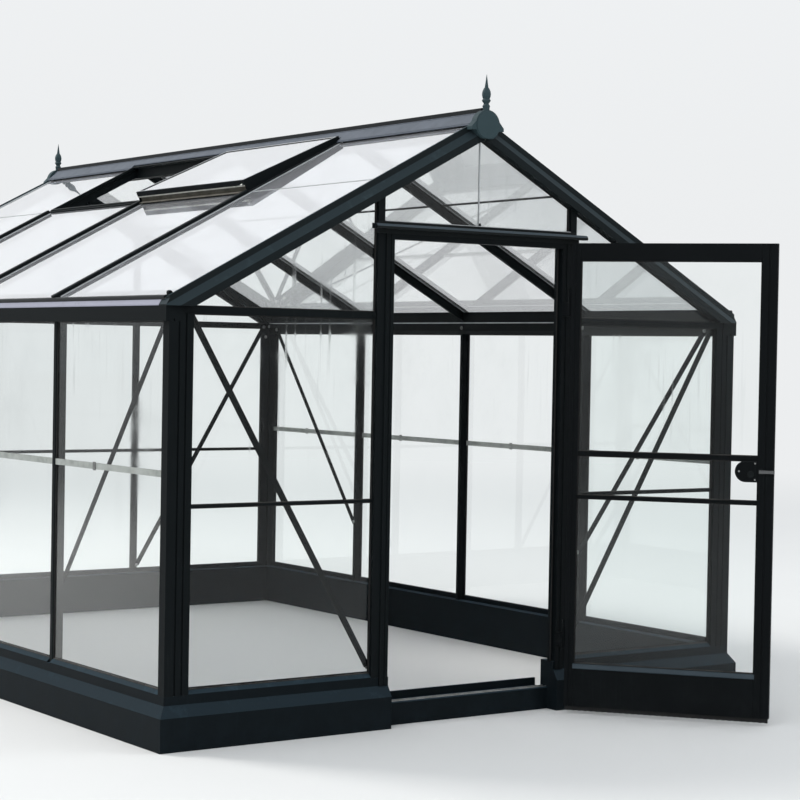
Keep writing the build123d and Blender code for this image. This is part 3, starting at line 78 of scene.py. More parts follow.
@dataclass(frozen=True)
class Layout:
    """The building's driving sizes in metres, as the CAD has them, and what follows from them."""

    half_width: float = 1.550
    bay_pitch: float = 1.052
    bay_count: int = 4
    front: float = -0.090
    eave_line: float = 1.820
    ridge_line: float = 2.647
    glass_setback: float = 0.020
    glass_thickness: float = 0.004
    glass_sink: float = 0.003
    plinth_top: float = 0.220
    sill_top: float = 0.238
    sill_upstand: float = 0.006
    eave_bottom: float = 1.722
    eave_seam: float = 1.784
    rail_bottom: float = 1.754
    post_gable_leg: float = 0.112
    post_side_leg: float = 0.050
    gable_depth: float = 0.034
    cap_half_width: float = 0.015
    jamb_inner: float = 0.466
    jamb_outer: float = 0.548
    stud_inner: float = 0.514
    drip_cap_top: float = 2.172
    rafter_depth: float = 0.082
    rafter_rebate: float = 0.030
    side_joint: float = 1.108
    gable_joint: float = 0.978
    gable_joint_half: float = 0.005
    vent_sill_at: float = 1.128
    vent_sill_half: float = 0.013
    vent_top_margin: float = 0.059
    vent_angle: float = 3.25
    sash_base: float = 0.005
    sash_depth: float = 0.024
    sash_member: float = 0.014
    vent_side_gap: float = 0.002

    @property
    def rear(self) -> float:
        """Y of the rear gable's outer face."""
        return self.front + self.bay_pitch * self.bay_count

    @property
    def pitch(self) -> float:
        """Slope angle of the roof, in radians."""
        return math.atan2(self.ridge_line - self.eave_line, self.half_width)

    @property
    def slope_length(self) -> float:
        """Length of a slope from the eave line to the ridge line."""
        return self.half_width / math.cos(self.pitch)

    @property
    def vent_foot(self) -> float:
        """Distance of the vents' lower edges up the slope from the eave line."""
        return self.vent_sill_at - self.vent_sill_half

    @property
    def post_inner(self) -> float:
        """Distance of the corner posts' inner edges from the middle, on the gables."""
        return self.half_width - self.post_gable_leg

    @property
    def bar_lines(self) -> np.ndarray:
        """Y of the three glazing bars of a wall or slope."""
        return self.front + self.bay_pitch * np.arange(1, self.bay_count)

    @property
    def gables(self) -> tuple[tuple[float, int], tuple[float, int]]:
        """Y of the front and the rear gable's outer face, each with the direction inwards."""
        return (self.front, 1), (self.rear, -1)

    def bays(self, end_gap: float) -> list[Pair]:
        """Clear spans along Y between the caps of the glazing bars.

        Args:
            end_gap: Distance of the first and the last span from the gables' outer faces.

        Returns:
            The start and end of each bay, from the front to the rear.
        """
        lines = self.bar_lines
        starts = np.concatenate(([self.front + end_gap], lines + self.cap_half_width))
        ends = np.concatenate((lines - self.cap_half_width, [self.rear - end_gap]))
        return list(zip(starts.tolist(), ends.tolist()))

    def wall_bays(self) -> list[Pair]:
        """Clear spans between the long walls' posts and studs."""
        return self.bays(self.post_side_leg)

    def roof_bays(self) -> list[Pair]:
        """Clear spans between the rafters and the roof bars."""
        return self.bays(self.rafter_rebate)

    def pane_faces(self, face: float, inwards: int) -> tuple[tuple[float, int], tuple[float, int]]:
        """The two faces of a wall's panes, outer first, each with the direction it looks in."""
        inner = self.glass_setback + self.glass_thickness
        return (face + inwards * self.glass_setback, -inwards), (face + inwards * inner, inwards)

    def slope_directions(self, side: Side) -> tuple[np.ndarray, np.ndarray]:
        """The directions of a slope, by the cosine and sine of the pitch.

        Args:
            side: Which slope.

        Returns:
            The direction up the slope, and the one square to it, outwards.
        """
        level, rise = math.cos(self.pitch), math.sin(self.pitch)
        up = np.array((-side.value * level, 0.0, rise))
        return up, np.array((side.value * rise, 0.0, level))

    def on_slope(self, side: Side, y: Measure, along: Measure, square: Measure) -> np.ndarray:
        """Points of a slope: the eave line's point, moved up the slope and square to it.

        Args:
            side: Which slope.
            y: Places along the building.
            along: Distances up the slope from the eave line.
            square: Distances square to the slope, outwards.

        Returns:
            The points, with three coordinates last.
        """
        x = self.half_width - along * math.cos(self.pitch) + square * math.sin(self.pitch)
        z = self.eave_line + along * math.sin(self.pitch) + square * math.cos(self.pitch)
        return np.stack(np.broadcast_arrays(side.value * x, y, z), axis=-1)

    def rafter_underside(self, x: float) -> float:
        """Height of the gable rafters' lower edge at a distance from the middle."""
        rise = (self.half_width - abs(x)) * math.tan(self.pitch)
        return self.eave_line + rise - self.rafter_depth / math.cos(self.pitch)


LAYOUT = Layout()


@dataclass(frozen=True)
class LeafPlace:
    """Where the door leaf hangs. Its pieces are drawn closed and then swung open."""

    axis: Pair = (0.466, -0.1515)
    open_angle: float = 128.0
    face_back: float = -0.1255
    thickness: float = 0.032
    hinge_edge: float = 0.456
    lock_edge: float = -0.462
    hinge_stile: float = 0.042
    lock_stile: float = 0.070
    bottom: float = 0.032
    top: float = 2.118
    bottom_rail: float = 0.194
    top_rail: float = 0.078
    lock_height: float = 1.117
    lock_radius: float = 0.047
    lock_reach: float = 0.100
    lock_depth: float = 0.030
    upper_bar: float = 1.174
    upper_bar_half: float = 0.010
    lower_bar: float = 0.979
    lower_bar_half: float = 0.007
    hinge_feet: Pair = (0.292, 1.790)
    knuckle: float = 0.063
    screw_shares: tuple[float, ...] = (0.2, 0.5, 0.8)

    @property
    def face_front(self) -> float:
        """Y of the outer face when closed."""
        return self.face_back - self.thickness

    @property
    def faces(self) -> tuple[tuple[float, int], tuple[float, int]]:
        """Y of the leaf's two faces when closed, each with the direction that it looks in."""
        return (self.face_back, 1), (self.face_front, -1)

    @property
    def case_faces(self) -> tuple[tuple[float, int], tuple[float, int]]:
        """Y of the lock case's two faces, each with the direction that it looks in."""
        inset = (self.thickness - self.lock_depth) / 2
        return (self.face_back - inset, 1), (self.face_front + inset, -1)

    @property
    def glass_left(self) -> float:
        """X of the lock stile's inner edge when closed."""
        return self.lock_edge + self.lock_stile

    @property
    def glass_right(self) -> float:
        """X of the hinge stile's inner edge when closed."""
        return self.hinge_edge - self.hinge_stile

    def screw_heights(self, knuckles_up: int) -> list[float]:
        """Heights of the screws beside each hinge, at a number of knuckles over its foot."""
        return [foot + (knuckles_up + share) * self.knuckle
                for foot in self.hinge_feet for share in self.screw_shares]

    def swing(self, points: np.ndarray) -> np.ndarray:
        """Points turned about the hinge axis from closed to open, by the plane rotation's formula.

        Args:
            points: Points of the closed leaf, with three coordinates last.

        Returns:
            The same points on the open leaf.
        """
        angle = math.radians(self.open_angle)
        cosine, sine = math.cos(angle), math.sin(angle)
        turn = np.array(((cosine, -sine, 0.0), (sine, cosine, 0.0), (0.0, 0.0, 1.0)))
        origin = np.array((*self.axis, 0.0))
        return (points - origin) @ turn.T + origin


LEAF = LeafPlace()


def unit(vector: Vector) -> np.ndarray:
    """The vector divided by its length."""
    vector = np.asarray(vector, float)
    return vector / np.linalg.norm(vector, axis=-1, keepdims=True)


def millimetres(*points: Pair) -> np.ndarray:
    """A profile given in millimetres, as an array in metres."""
    return np.array(points) / 1000


def rectangle(left: float, right: float, low: float, high: float) -> np.ndarray:
    """The four corners of a rectangle, an array of 4 by 2."""
    return np.array(((left, low), (right, low), (right, high), (left, high)))


def arc_points(radius: float, start: float, end: float, count: int) -> np.ndarray:
    """Points of an arc: its radius times the cosine and sine of even angles, in degrees."""
    angles = np.radians(np.linspace(start, end, count))
    return radius * np.stack((np.cos(angles), np.sin(angles)), axis=-1)


def half_round(width: float, height: float, count: int) -> np.ndarray:
    """Half an ellipse on a flat base: half the width times a cosine, the height times a sine."""
    return arc_points(1.0, 0.0, 180.0, count) * np.array((width / 2, height))


def bevelled_strip(width: float, height: float, bevel: float) -> np.ndarray:
    """A flat strip's profile with both upper corners bevelled, standing on its base's middle.

    Args:
        width: The strip's width.
        height: Its thickness.
        bevel: What the bevels take off, across and down.

    Returns:
        An array of 6 by 2.
    """
    half, low = width / 2, height - bevel
    return np.array(((half, 0.0), (half, low), (half - bevel, height), (bevel - half, height),
                     (-half, low), (-half, 0.0)))


SCREW_HEAD = millimetres((4.5, 0), (4.5, 0.6), (3.5, 1.4), (1.5, 1.5))


class Shell:
    """Collects grids of points, and makes one mesh object of them."""

    def __init__(self, name: str) -> None:
        """Starts an empty shell.

        Args:
            name: The finished object's name.
        """
        self.name = name
        self.points: list[np.ndarray] = []
        self.faces: list[list[int]] = []
        self.count = 0

    def grid(self, points: np.ndarray, round_rows: bool = False, round_columns: bool = False,
             capped: bool = False) -> None:
        """Adds a surface given on a grid, one four-sided face for each cell.

        Args:
            points: An array of rows by columns by 3.
            round_rows: Joins the last row to the first.
            round_columns: Joins the last column to the first.
            capped: Closes the first and the last row with one face each.
        """
        rows, columns = points.shape[:2]
        index = np.arange(rows * columns).reshape(rows, columns) + self.count
        caps = [index[0].tolist(), index[-1].tolist()] if capped else []
        if round_rows:
            index = np.vstack((index, index[:1]))
        if round_columns:
            index = np.hstack((index, index[:, :1]))
        corners = (index[:-1, :-1], index[1:, :-1], index[1:, 1:], index[:-1, 1:])
        self.faces += np.stack(corners, axis=-1).reshape(-1, 4).tolist() + caps
        self.points.append(points.reshape(-1, 3))
        self.count += rows * columns

    def sweep(self, profile: np.ndarray, start: Vector, end: Vector, across: Vector,
              up: Vector) -> None:
        """Carries a closed profile along a straight run: each point is the run's point plus
        the profile's two values times the across and up directions.

        Args:
            profile: An array of points by 2.
            start: Where the run starts.
            end: Where the run ends.
            across: Direction of the profile's first value.
            up: Direction of the profile's second value.
        """
        section = profile[:, :1] * unit(across) + profile[:, 1:] * unit(up)
        ends = np.stack((start, end))
        self.grid(ends[:, None, :] + section[None, :, :], round_columns=True, capped=True)

    def follow(self, profile: np.ndarray, path: np.ndarray, up: Vector) -> None:
        """Carries a closed profile along a path: at each point the across direction is the
        path's own direction crossed with up.

        Args:
            profile: An array of points by 2.
            path: An array of points by 3.
            up: Direction of the profile's second value.
        """
        along = unit(np.gradient(path, axis=0))
        across = unit(np.cross(along, unit(up)))
        rise = np.cross(across, along)
        section = (profile[None, :, :1] * across[:, None, :]
                   + profile[None, :, 1:] * rise[:, None, :])
        self.grid(path[:, None, :] + section, round_columns=True, capped=True)

    def frame_round(self, corners: np.ndarray, normal: Vector, profile: np.ndarray) -> None:
        """Carries a profile round a flat convex outline with mitred corners: each corner's
        offset is the sum of its two edges' inward directions over one plus their product.

        Args:
            corners: The outline's corners in order, an array of points by 3.
            normal: Direction of the profile's second value, square to the outline.
            profile: Distances inwards from the outline, and heights along the normal.
        """
        normal = unit(normal)
        following = np.roll(corners, -1, axis=0)
        inward = np.cross(normal, unit(following - corners))
        middle = (corners + following) / 2
        towards = np.sum(inward * (corners.mean(axis=0) - middle), axis=1, keepdims=True)
        inward = inward * np.sign(towards)
        before = np.roll(inward, 1, axis=0)
        mitre = (inward + before) / (1 + np.sum(inward * before, axis=1, keepdims=True))
        rings = corners[:, None, :] + profile[None, :, :1] * mitre[:, None, :]
        rings = rings + profile[None, :, 1:] * normal
        self.grid(rings, round_rows=True, round_columns=True)

    def turned(self, profile: np.ndarray, bases: Sequence[Vector] | Vector, axis: Vector,
               segments: int) -> None:
        """Turns a profile about an axis at several places: the base plus the height times the
        axis, plus the radius times a direction that goes round it.

        Args:
            profile: Radii and heights, an array of points by 2.
            bases: Where the axes start, one place or several.
            axis: The axes' common direction.
            segments: Number of directions round the axis.
        """
        axis = unit(axis)
        upright = abs(axis[2]) >= 0.9
        first = unit(np.cross(axis, (1.0, 0.0, 0.0) if upright else (0.0, 0.0, 1.0)))
        second = np.cross(axis, first)
        angles = np.linspace(0, 2 * math.pi, segments, endpoint=False)
        ring = np.cos(angles)[:, None] * first + np.sin(angles)[:, None] * second
        body = profile[:, None, :1] * ring[None, :, :] + profile[:, None, 1:] * axis
        for base in np.atleast_2d(bases):
            self.grid(base + body, round_columns=True, capped=True)

    def move(self, change: Callable[[np.ndarray], np.ndarray]) -> None:
        """Puts every collected point through a function of an array of points."""
        self.points = [change(part) for part in self.points]

    def make(self, material: Material, smooth: bool = False) -> Object:
        """Makes the object, with its faces turned outwards, and reports it.

        Args:
            material: Its material.
            smooth: Shades the faces smooth.

        Returns:
            The new object.
        """
        mesh = bpy.data.meshes.new(self.name)
        mesh.from_pydata(np.vstack(self.points).tolist(), [], self.faces)
        turn_outwards(mesh)
        if smooth:
            mesh.shade_smooth()
        else:
            mesh.shade_flat()
        mesh.materials.append(material)
        made = bpy.data.objects.new(self.name, mesh)
        bpy.context.scene.collection.objects.link(made)
        LOG.info("%s: %d faces", self.name, len(mesh.polygons))
        return made

    def build(self, material: Material, slot: Slot = Slot.FRAME,
              rides: Rides = Rides.BUILDING, smooth: bool = False) -> None:
        """Makes the object as a piece of the greenhouse.

        Args:
            material: Its material.
            slot: Not used.
            rides: The body that it moves with.
            smooth: Shades the faces smooth.
        """
        piece = self.make(material, smooth)
        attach(piece, rides.value)


def turn_outwards(mesh: Mesh) -> None:
    """Merges doubled points and turns each closed shell's faces outwards.

    Args:
        mesh: The mesh, changed in place.
    """
    work = bmesh.new()
    work.from_mesh(mesh)
    bmesh.ops.remove_doubles(work, verts=work.verts, dist=1e-6)
    bmesh.ops.recalc_face_normals(work, faces=work.faces)
    work.to_mesh(mesh)
    work.free()


class Nodes:
    """A node tree with short calls to add its nodes and to fill their inputs."""

    def __init__(self, tree: NodeTree) -> None:
        """Takes the tree that new nodes go in."""
        self.tree = tree

    def put(self, target: Socket, value: object) -> None:
        """Fills an input.

        Args:
            target: The input socket.
            value: Its value, or an output socket to link to it.
        """
        if isinstance(value, Socket):
            self.tree.links.new(value, target)
        else:
            target.default_value = value

    def add(self, kind: str, values: dict[str | int, object] | None = None,
            **settings: object) -> Node:
        """Adds a node.

        Args:
            kind: The node's type, for shader nodes without the prefix ShaderNode.
            values: What its inputs are filled with, by input name or number.
            settings: The node's own properties.

        Returns:
            The new node.
        """
        node = self.tree.nodes.new(kind if kind.startswith("NodeGroup") else "ShaderNode" + kind)
        for key, value in settings.items():
            setattr(node, key, value)
        for key, value in (values or {}).items():
            self.put(node.inputs[key], value)
        return node

    def maths(self, operation: str, first: Value, second: Value, clamp: bool = False) -> Socket:
        """The result of a Math node's operation, kept from 0 to 1 where clamp is set."""
        node = self.add("Math", {0: first, 1: second}, operation=operation, use_clamp=clamp)
        return node.outputs[0]

    def line(self, value: Value, slope: Value, base: Value) -> Socket:
        """A value times a slope, plus a base."""
        return self.add("Math", {0: value, 1: slope, 2: base}, operation="MULTIPLY_ADD").outputs[0]

    def stretch(self, value: Value, low: float, high: float) -> Socket:
        """A value from low to high as one from 0 to 1, smoothed at both ends."""
        return self.add("MapRange", {"Value": value, "From Min": low, "From Max": high},
                        interpolation_type="SMOOTHSTEP").outputs["Result"]

    def blend(self, share: Value, first: Socket | Colour, second: Socket | Colour) -> Socket:
        """Two colours mixed by a share, from all of the first at 0 to all of the second at 1."""
        return self.add("Mix", {0: share, 6: first, 7: second}, data_type="RGBA").outputs[2]

    def noise(self, vector: Socket, scale: Value, detail: float = 3.0,
              rough: float = 0.5) -> Socket:
        """Noise from 0 to 1, with waves to the metre and a number and share of finer layers."""
        values = {"Vector": vector, "Scale": scale, "Detail": detail, "Roughness": rough}
        return self.add("TexNoise", values).outputs["Fac"]

    def scaled(self, vector: Socket, scale: Point) -> Socket:
        """A vector with its three parts scaled on their own."""
        return self.add("VectorMath", {0: vector, 1: scale}, operation="MULTIPLY").outputs[0]

    def height(self, vector: Socket) -> Socket:
        """A vector's third part."""
        return self.add("SeparateXYZ", {0: vector}).outputs["Z"]

    def bump(self, distance: float, strength: float, **inputs: Socket) -> Socket:
        """A normal that leans with the Height input, from the Normal input where it is given."""
        return self.add("Bump", {"Distance": distance, "Strength": strength, **inputs}).outputs[0]


class Effect(Nodes):
    """A node group in the making: it takes coordinates and named values, and gives outputs."""

    def __init__(self, name: str, outputs: dict[str, str], **values: float) -> None:
        """Starts the group.

        Args:
            name: The group's name.
            outputs: The outputs with their socket types.
            values: The value inputs with their defaults.
        """
        tree = bpy.data.node_groups.new(name, "ShaderNodeTree")
        tree.interface.new_socket("Vector", in_out="INPUT", socket_type="NodeSocketVector")
        for key, value in values.items():
            socket = tree.interface.new_socket(key, in_out="INPUT", socket_type="NodeSocketFloat")
            socket.default_value = value
        for key, kind in outputs.items():
            tree.interface.new_socket(key, in_out="OUTPUT", socket_type=kind)
        super().__init__(tree)
        self.given = self.add("NodeGroupInput").outputs
        self.place = self.given["Vector"]
        self.leave = self.add("NodeGroupOutput")

    def give(self, name: str, source: Socket) -> None:
        """Links a socket to one of the group's outputs."""
        self.put(self.leave.inputs[name], source)

    def give_mask(self, first: Socket, second: Socket) -> None:
        """Gives the product of two shares and the group's Amount, from 0 to 1, as its Mask."""
        both = self.maths("MULTIPLY", first, second)
        self.give("Mask", self.maths("MULTIPLY", both, self.given["Amount"], clamp=True))


MASK = {"Mask": "NodeSocketFloat"}


class Effects:
    """The surface effects that several finishes share, each one a node group."""

    def __init__(self) -> None:
        """Builds every group once."""
        self.grain = self._grain()
        self.rain = self._rain()
        self.settled = self._settled()
        self.splash = self._splash()
        self.edges = self._edges()

    def _grain(self) -> NodeTree:
        """Orange-peel of a baked coat: fine noise for height, and broad noise for variation.

        Returns:
            The group.
        """
        nodes = Effect("coat grain", {"Height": "NodeSocketFloat", "Variation": "NodeSocketFloat"},
                       Scale=900.0)
        nodes.give("Height", nodes.noise(nodes.place, nodes.given["Scale"], detail=2.0))
        nodes.give("Variation", nodes.noise(nodes.place, scale=3.5, detail=4.0, rough=0.6))
        return nodes.tree

    def _rain(self) -> NodeTree:
        """Upright run marks: noise drawn out along Z, kept where it is high and a broad noise
        allows it.

        Returns:
            The group.
        """
        nodes = Effect("rain marks", MASK, Scale=60.0, Amount=0.5)
        drawn = nodes.scaled(nodes.place, (1.0, 1.0, 0.045))
        runs = nodes.stretch(nodes.noise(drawn, nodes.given["Scale"]), low=0.56, high=0.74)
        broad = nodes.noise(nodes.place, scale=1.9, detail=2.0, rough=0.55)
        nodes.give_mask(runs, nodes.stretch(broad, low=0.42, high=0.66))
        return nodes.tree

    def _settled(self) -> NodeTree:
        """Dust on faces that look up: the height of the normal, stretched, times patchy noise
        raised to at least the evenness input, which lays the colour evenly on upward faces as
        painted sky light.

        Returns:
            The group.
        """
        nodes = Effect("settled dust and painted sky light", MASK, Amount=0.5, Evenness=0.0)
        upward = nodes.height(nodes.add("NewGeometry").outputs["True Normal"])
        patches = nodes.noise(nodes.place, scale=14.0, detail=5.0, rough=0.65)
        patches = nodes.stretch(patches, low=0.25, high=0.8)
        # The evenness input lifts the patchy noise to an even share: painted sky light on upward
        # faces.
        nodes.give_mask(nodes.stretch(upward, low=0.15, high=0.95),
                        nodes.maths("MAXIMUM", patches, nodes.given["Evenness"]))
        return nodes.tree

    def _splash(self) -> NodeTree:
        """Dirt thrown up from the ground: one less the height's share of the given height, to a
        power, broken up by noise.

        Returns:
            The group.
        """
        nodes = Effect("splashed dirt", MASK, Height=0.3, Amount=0.5)
        share = nodes.maths("DIVIDE", nodes.height(nodes.place), nodes.given["Height"])
        low = nodes.maths("SUBTRACT", 1.0, share, clamp=True)
        drops = nodes.noise(nodes.place, scale=9.0, detail=8.0, rough=0.72)
        nodes.give_mask(nodes.maths("POWER", low, 1.6), nodes.stretch(drops, low=0.40, high=0.80))
        return nodes.tree

    def _edges(self) -> NodeTree:
        """Rounded edges: the normal of a small bevel, and a mask where one less its product with
        the face's own normal is high.

        Returns:
            The group.
        """
        nodes = Effect("worn edges", {"Normal": "NodeSocketVector", "Mask": "NodeSocketFloat"},
                       Radius=0.0015, Amount=0.5)
        rounded = nodes.add("Bevel", {"Radius": nodes.given["Radius"]}, samples=4).outputs[0]
        flat = nodes.add("NewGeometry").outputs["True Normal"]
        same = nodes.add("VectorMath", {0: rounded, 1: flat}, operation="DOT_PRODUCT")
        off = nodes.maths("SUBTRACT", 1.0, same.outputs["Value"])
        chips = nodes.noise(nodes.place, scale=70.0, detail=4.0, rough=0.7)
        nodes.give_mask(nodes.stretch(off, low=0.02, high=0.2),
                        nodes.stretch(chips, low=0.45, high=0.7))
        nodes.give("Normal", rounded)
        return nodes.tree


class Painter(Nodes):
    """The nodes of a new material, with its Principled shader and its Object coordinates."""

    def __init__(self, name: str) -> None:
        """Starts the material.

        Args:
            name: The material's name.
        """
        self.material = bpy.data.materials.new(name)
        self.material.use_nodes = True
        super().__init__(self.material.node_tree)
        self.shader = self.tree.nodes["Principled BSDF"]
        self.place = self.add("TexCoord").outputs["Object"]

    def feed(self, **inputs: Socket | float | Colour) -> None:
        """Fills the shader's inputs, by their names with underscores for the spaces."""
        for key, value in inputs.items():
            self.put(self.shader.inputs[key.replace("_", " ")], value)

    def group(self, effect: NodeTree, **values: float) -> Node:
        """A node that uses an effect on the Object coordinates, with its named values."""
        return self.add("Group", {"Vector": self.place, **values}, node_tree=effect)

    def mask(self, effect: NodeTree, **values: float) -> Socket:
        """The Mask of an effect, with its named values."""
        return self.group(effect, **values).outputs["Mask"]

    def patches(self, scale: float, detail: float, rough: float, low: float, high: float) -> Socket:
        """Broad patches of noise, which begin at its low value and are full at its high one."""
        return self.stretch(self.noise(self.place, scale, detail, rough), low, high)


@dataclass(frozen=True)
class PowderCoat:
    """A matt baked coat on aluminium, with grain, dust, run marks and worn edges; where even is
    set, upward faces take the dust colour evenly as painted sky light.
    """

    name: str
    colour: Colour
    lighter: Colour
    # Colour of dust, run marks and splashes; where even is set, also the colour of painted sky
    # light on upward faces.
    dust: Colour = (0.050, 0.058, 0.060, 1.0)
    worn: Colour = (0.050, 0.055, 0.058, 1.0)
    roughness: float = 0.42
    rougher_in_dirt: float = 0.35
    rougher_in_patches: float = 0.16
    specular: float = 0.06
    grain_height: float = 0.00012
    dusty: float = 0.35
    # Share of upward faces that take the dust colour evenly, regardless of patches: painted sky
    # light.
    even: float = 0.0
    rainy: float = 0.07
    splashed: float = 0.15
    splash_height: float = 0.30
    wear: float = 0.35
    bevel: float = 0.0016

    def make(self, effects: Effects) -> Material:
        """Builds the material.

        Args:
            effects: The shared node groups.

        Returns:
            The material.
        """
        paint = Painter(self.name)
        grain = paint.group(effects.grain, Scale=700.0).outputs
        rain = paint.mask(effects.rain, Scale=90.0, Amount=self.rainy)
        # Upward faces: patchy dust, and an even painted sky light where even is set.
        settled = paint.mask(effects.settled, Amount=self.dusty, Evenness=self.even)
        splash = paint.mask(effects.splash, Height=self.splash_height, Amount=self.splashed)
        edges = paint.group(effects.edges, Radius=self.bevel, Amount=self.wear).outputs
        colour = paint.blend(grain["Variation"], self.colour, self.lighter)
        for mask in (rain, settled, splash):
            colour = paint.blend(mask, colour, self.dust)
        dirt = paint.maths("MAXIMUM", settled, splash)
        rough = paint.line(dirt, self.rougher_in_dirt, self.roughness)
        paint.feed(Base_Color=paint.blend(edges["Mask"], colour, self.worn),
                   Roughness=paint.line(grain["Variation"], self.rougher_in_patches, rough),
                   Normal=paint.bump(self.grain_height, strength=0.6, Height=grain["Height"],
                                     Normal=edges["Normal"]),
                   Specular_IOR_Level=self.specular)
        return paint.material


@dataclass(frozen=True)
class BareMetal:
    """Uncoated metal, brushed along one direction, with dull patches and settled dust; a pale,
    non-metallic copy also serves for strips of painted highlight.
    """

    name: str
    colour: Colour
    dull: Colour
    dust: Colour = (0.30, 0.28, 0.25, 1.0)
    dusty: float = 0.35
    roughness: float = 0.34
    rougher_in_patches: float = 0.2
    metallic: float = 1.0
    brushed_along: Point = (1.0, 0.03, 1.0)
    bevel: float = 0.0008

    def make(self, effects: Effects) -> Material:
        """Builds the material.

        Args:
            effects: The shared node groups.

        Returns:
            The material.
        """
        paint = Painter(self.name)
        strokes = paint.noise(paint.scaled(paint.place, self.brushed_along), scale=900.0, rough=0.6)
        patches = paint.patches(scale=16.0, detail=5.0, rough=0.65, low=0.35, high=0.75)
        settled = paint.mask(effects.settled, Amount=self.dusty)
        edges = paint.group(effects.edges, Radius=self.bevel, Amount=0.0).outputs
        colour = paint.blend(patches, self.colour, self.dull)
        paint.feed(Base_Color=paint.blend(settled, colour, self.dust),
                   Roughness=paint.line(patches, self.rougher_in_patches, self.roughness),
                   Normal=paint.bump(distance=0.00006, strength=0.5, Height=strokes,
                                     Normal=edges["Normal"]),
                   Metallic=self.metallic)
        return paint.material


@dataclass(frozen=True)
class PaneGlass:
    """Clear float glass with a thin film of dust and run marks, and a slight wave."""

    name: str
    tint: Colour = (0.965, 0.985, 0.980, 1.0)
    film: Colour = (0.76, 0.79, 0.785, 1.0)
    film_rough: float = 0.3
    dusty: float = 0.35
    rainy: float = 0.6
    streaks: Pair = (0.6, 1.75)
    hazy: Pair = (0.2, 2.1)
    clearness: float = 1.0
    mirror: float = 0.35
    coat: float = 0.0

    def make(self, effects: Effects) -> Material:
        """Builds the material.

        Args:
            effects: The shared node groups.

        Returns:
            The material.
        """
        paint = Painter(self.name)
        upper = paint.height(paint.place)
        rain = paint.mask(effects.rain, Scale=42.0, Amount=self.rainy)
        rain = paint.maths("MULTIPLY", rain, paint.stretch(upper, *self.streaks))
        haze = paint.patches(scale=2.4, detail=5.0, rough=0.62, low=0.42, high=0.86)
        haze = paint.maths("MULTIPLY", haze, self.dusty)
        haze = paint.maths("MULTIPLY", haze, paint.stretch(upper, *self.hazy))
        mask = paint.maths("MAXIMUM", rain, haze)
        wave = paint.noise(paint.place, scale=1.6, detail=0.0)
        paint.feed(Base_Color=paint.blend(mask, self.tint, self.film),
                   Roughness=paint.maths("MULTIPLY", mask, self.film_rough),
                   Normal=paint.bump(distance=0.0010, strength=0.2, Height=wave),
                   Transmission_Weight=self.clearness, IOR=1.45,
                   Specular_Tint=(self.mirror, self.mirror, self.mirror, 1.0),
                   Coat_Weight=self.coat)
        return paint.material


@dataclass(frozen=True)
class Rubber:
    """Extruded seal, dull, dusty and a little uneven along its length."""

    name: str
    colour: Colour
    greyed: Colour
    roughness: float = 0.72
    rougher_in_patches: float = 0.15
    dust: Colour = (0.18, 0.17, 0.15, 1.0)
    dusty: float = 0.5

    def make(self, effects: Effects) -> Material:
        """Builds the material.

        Args:
            effects: The shared node groups.

        Returns:
            The material.
        """
        paint = Painter(self.name)
        patches = paint.patches(scale=22.0, detail=5.0, rough=0.6, low=0.4, high=0.8)
        settled = paint.mask(effects.settled, Amount=self.dusty)
        grain = paint.group(effects.grain, Scale=500.0).outputs["Height"]
        colour = paint.blend(patches, self.colour, self.greyed)
        paint.feed(Base_Color=paint.blend(settled, colour, self.dust),
                   Roughness=paint.line(patches, self.rougher_in_patches, self.roughness),
                   Normal=paint.bump(distance=0.0003, strength=0.5, Height=grain),
                   Specular_IOR_Level=0.3)
        return paint.material


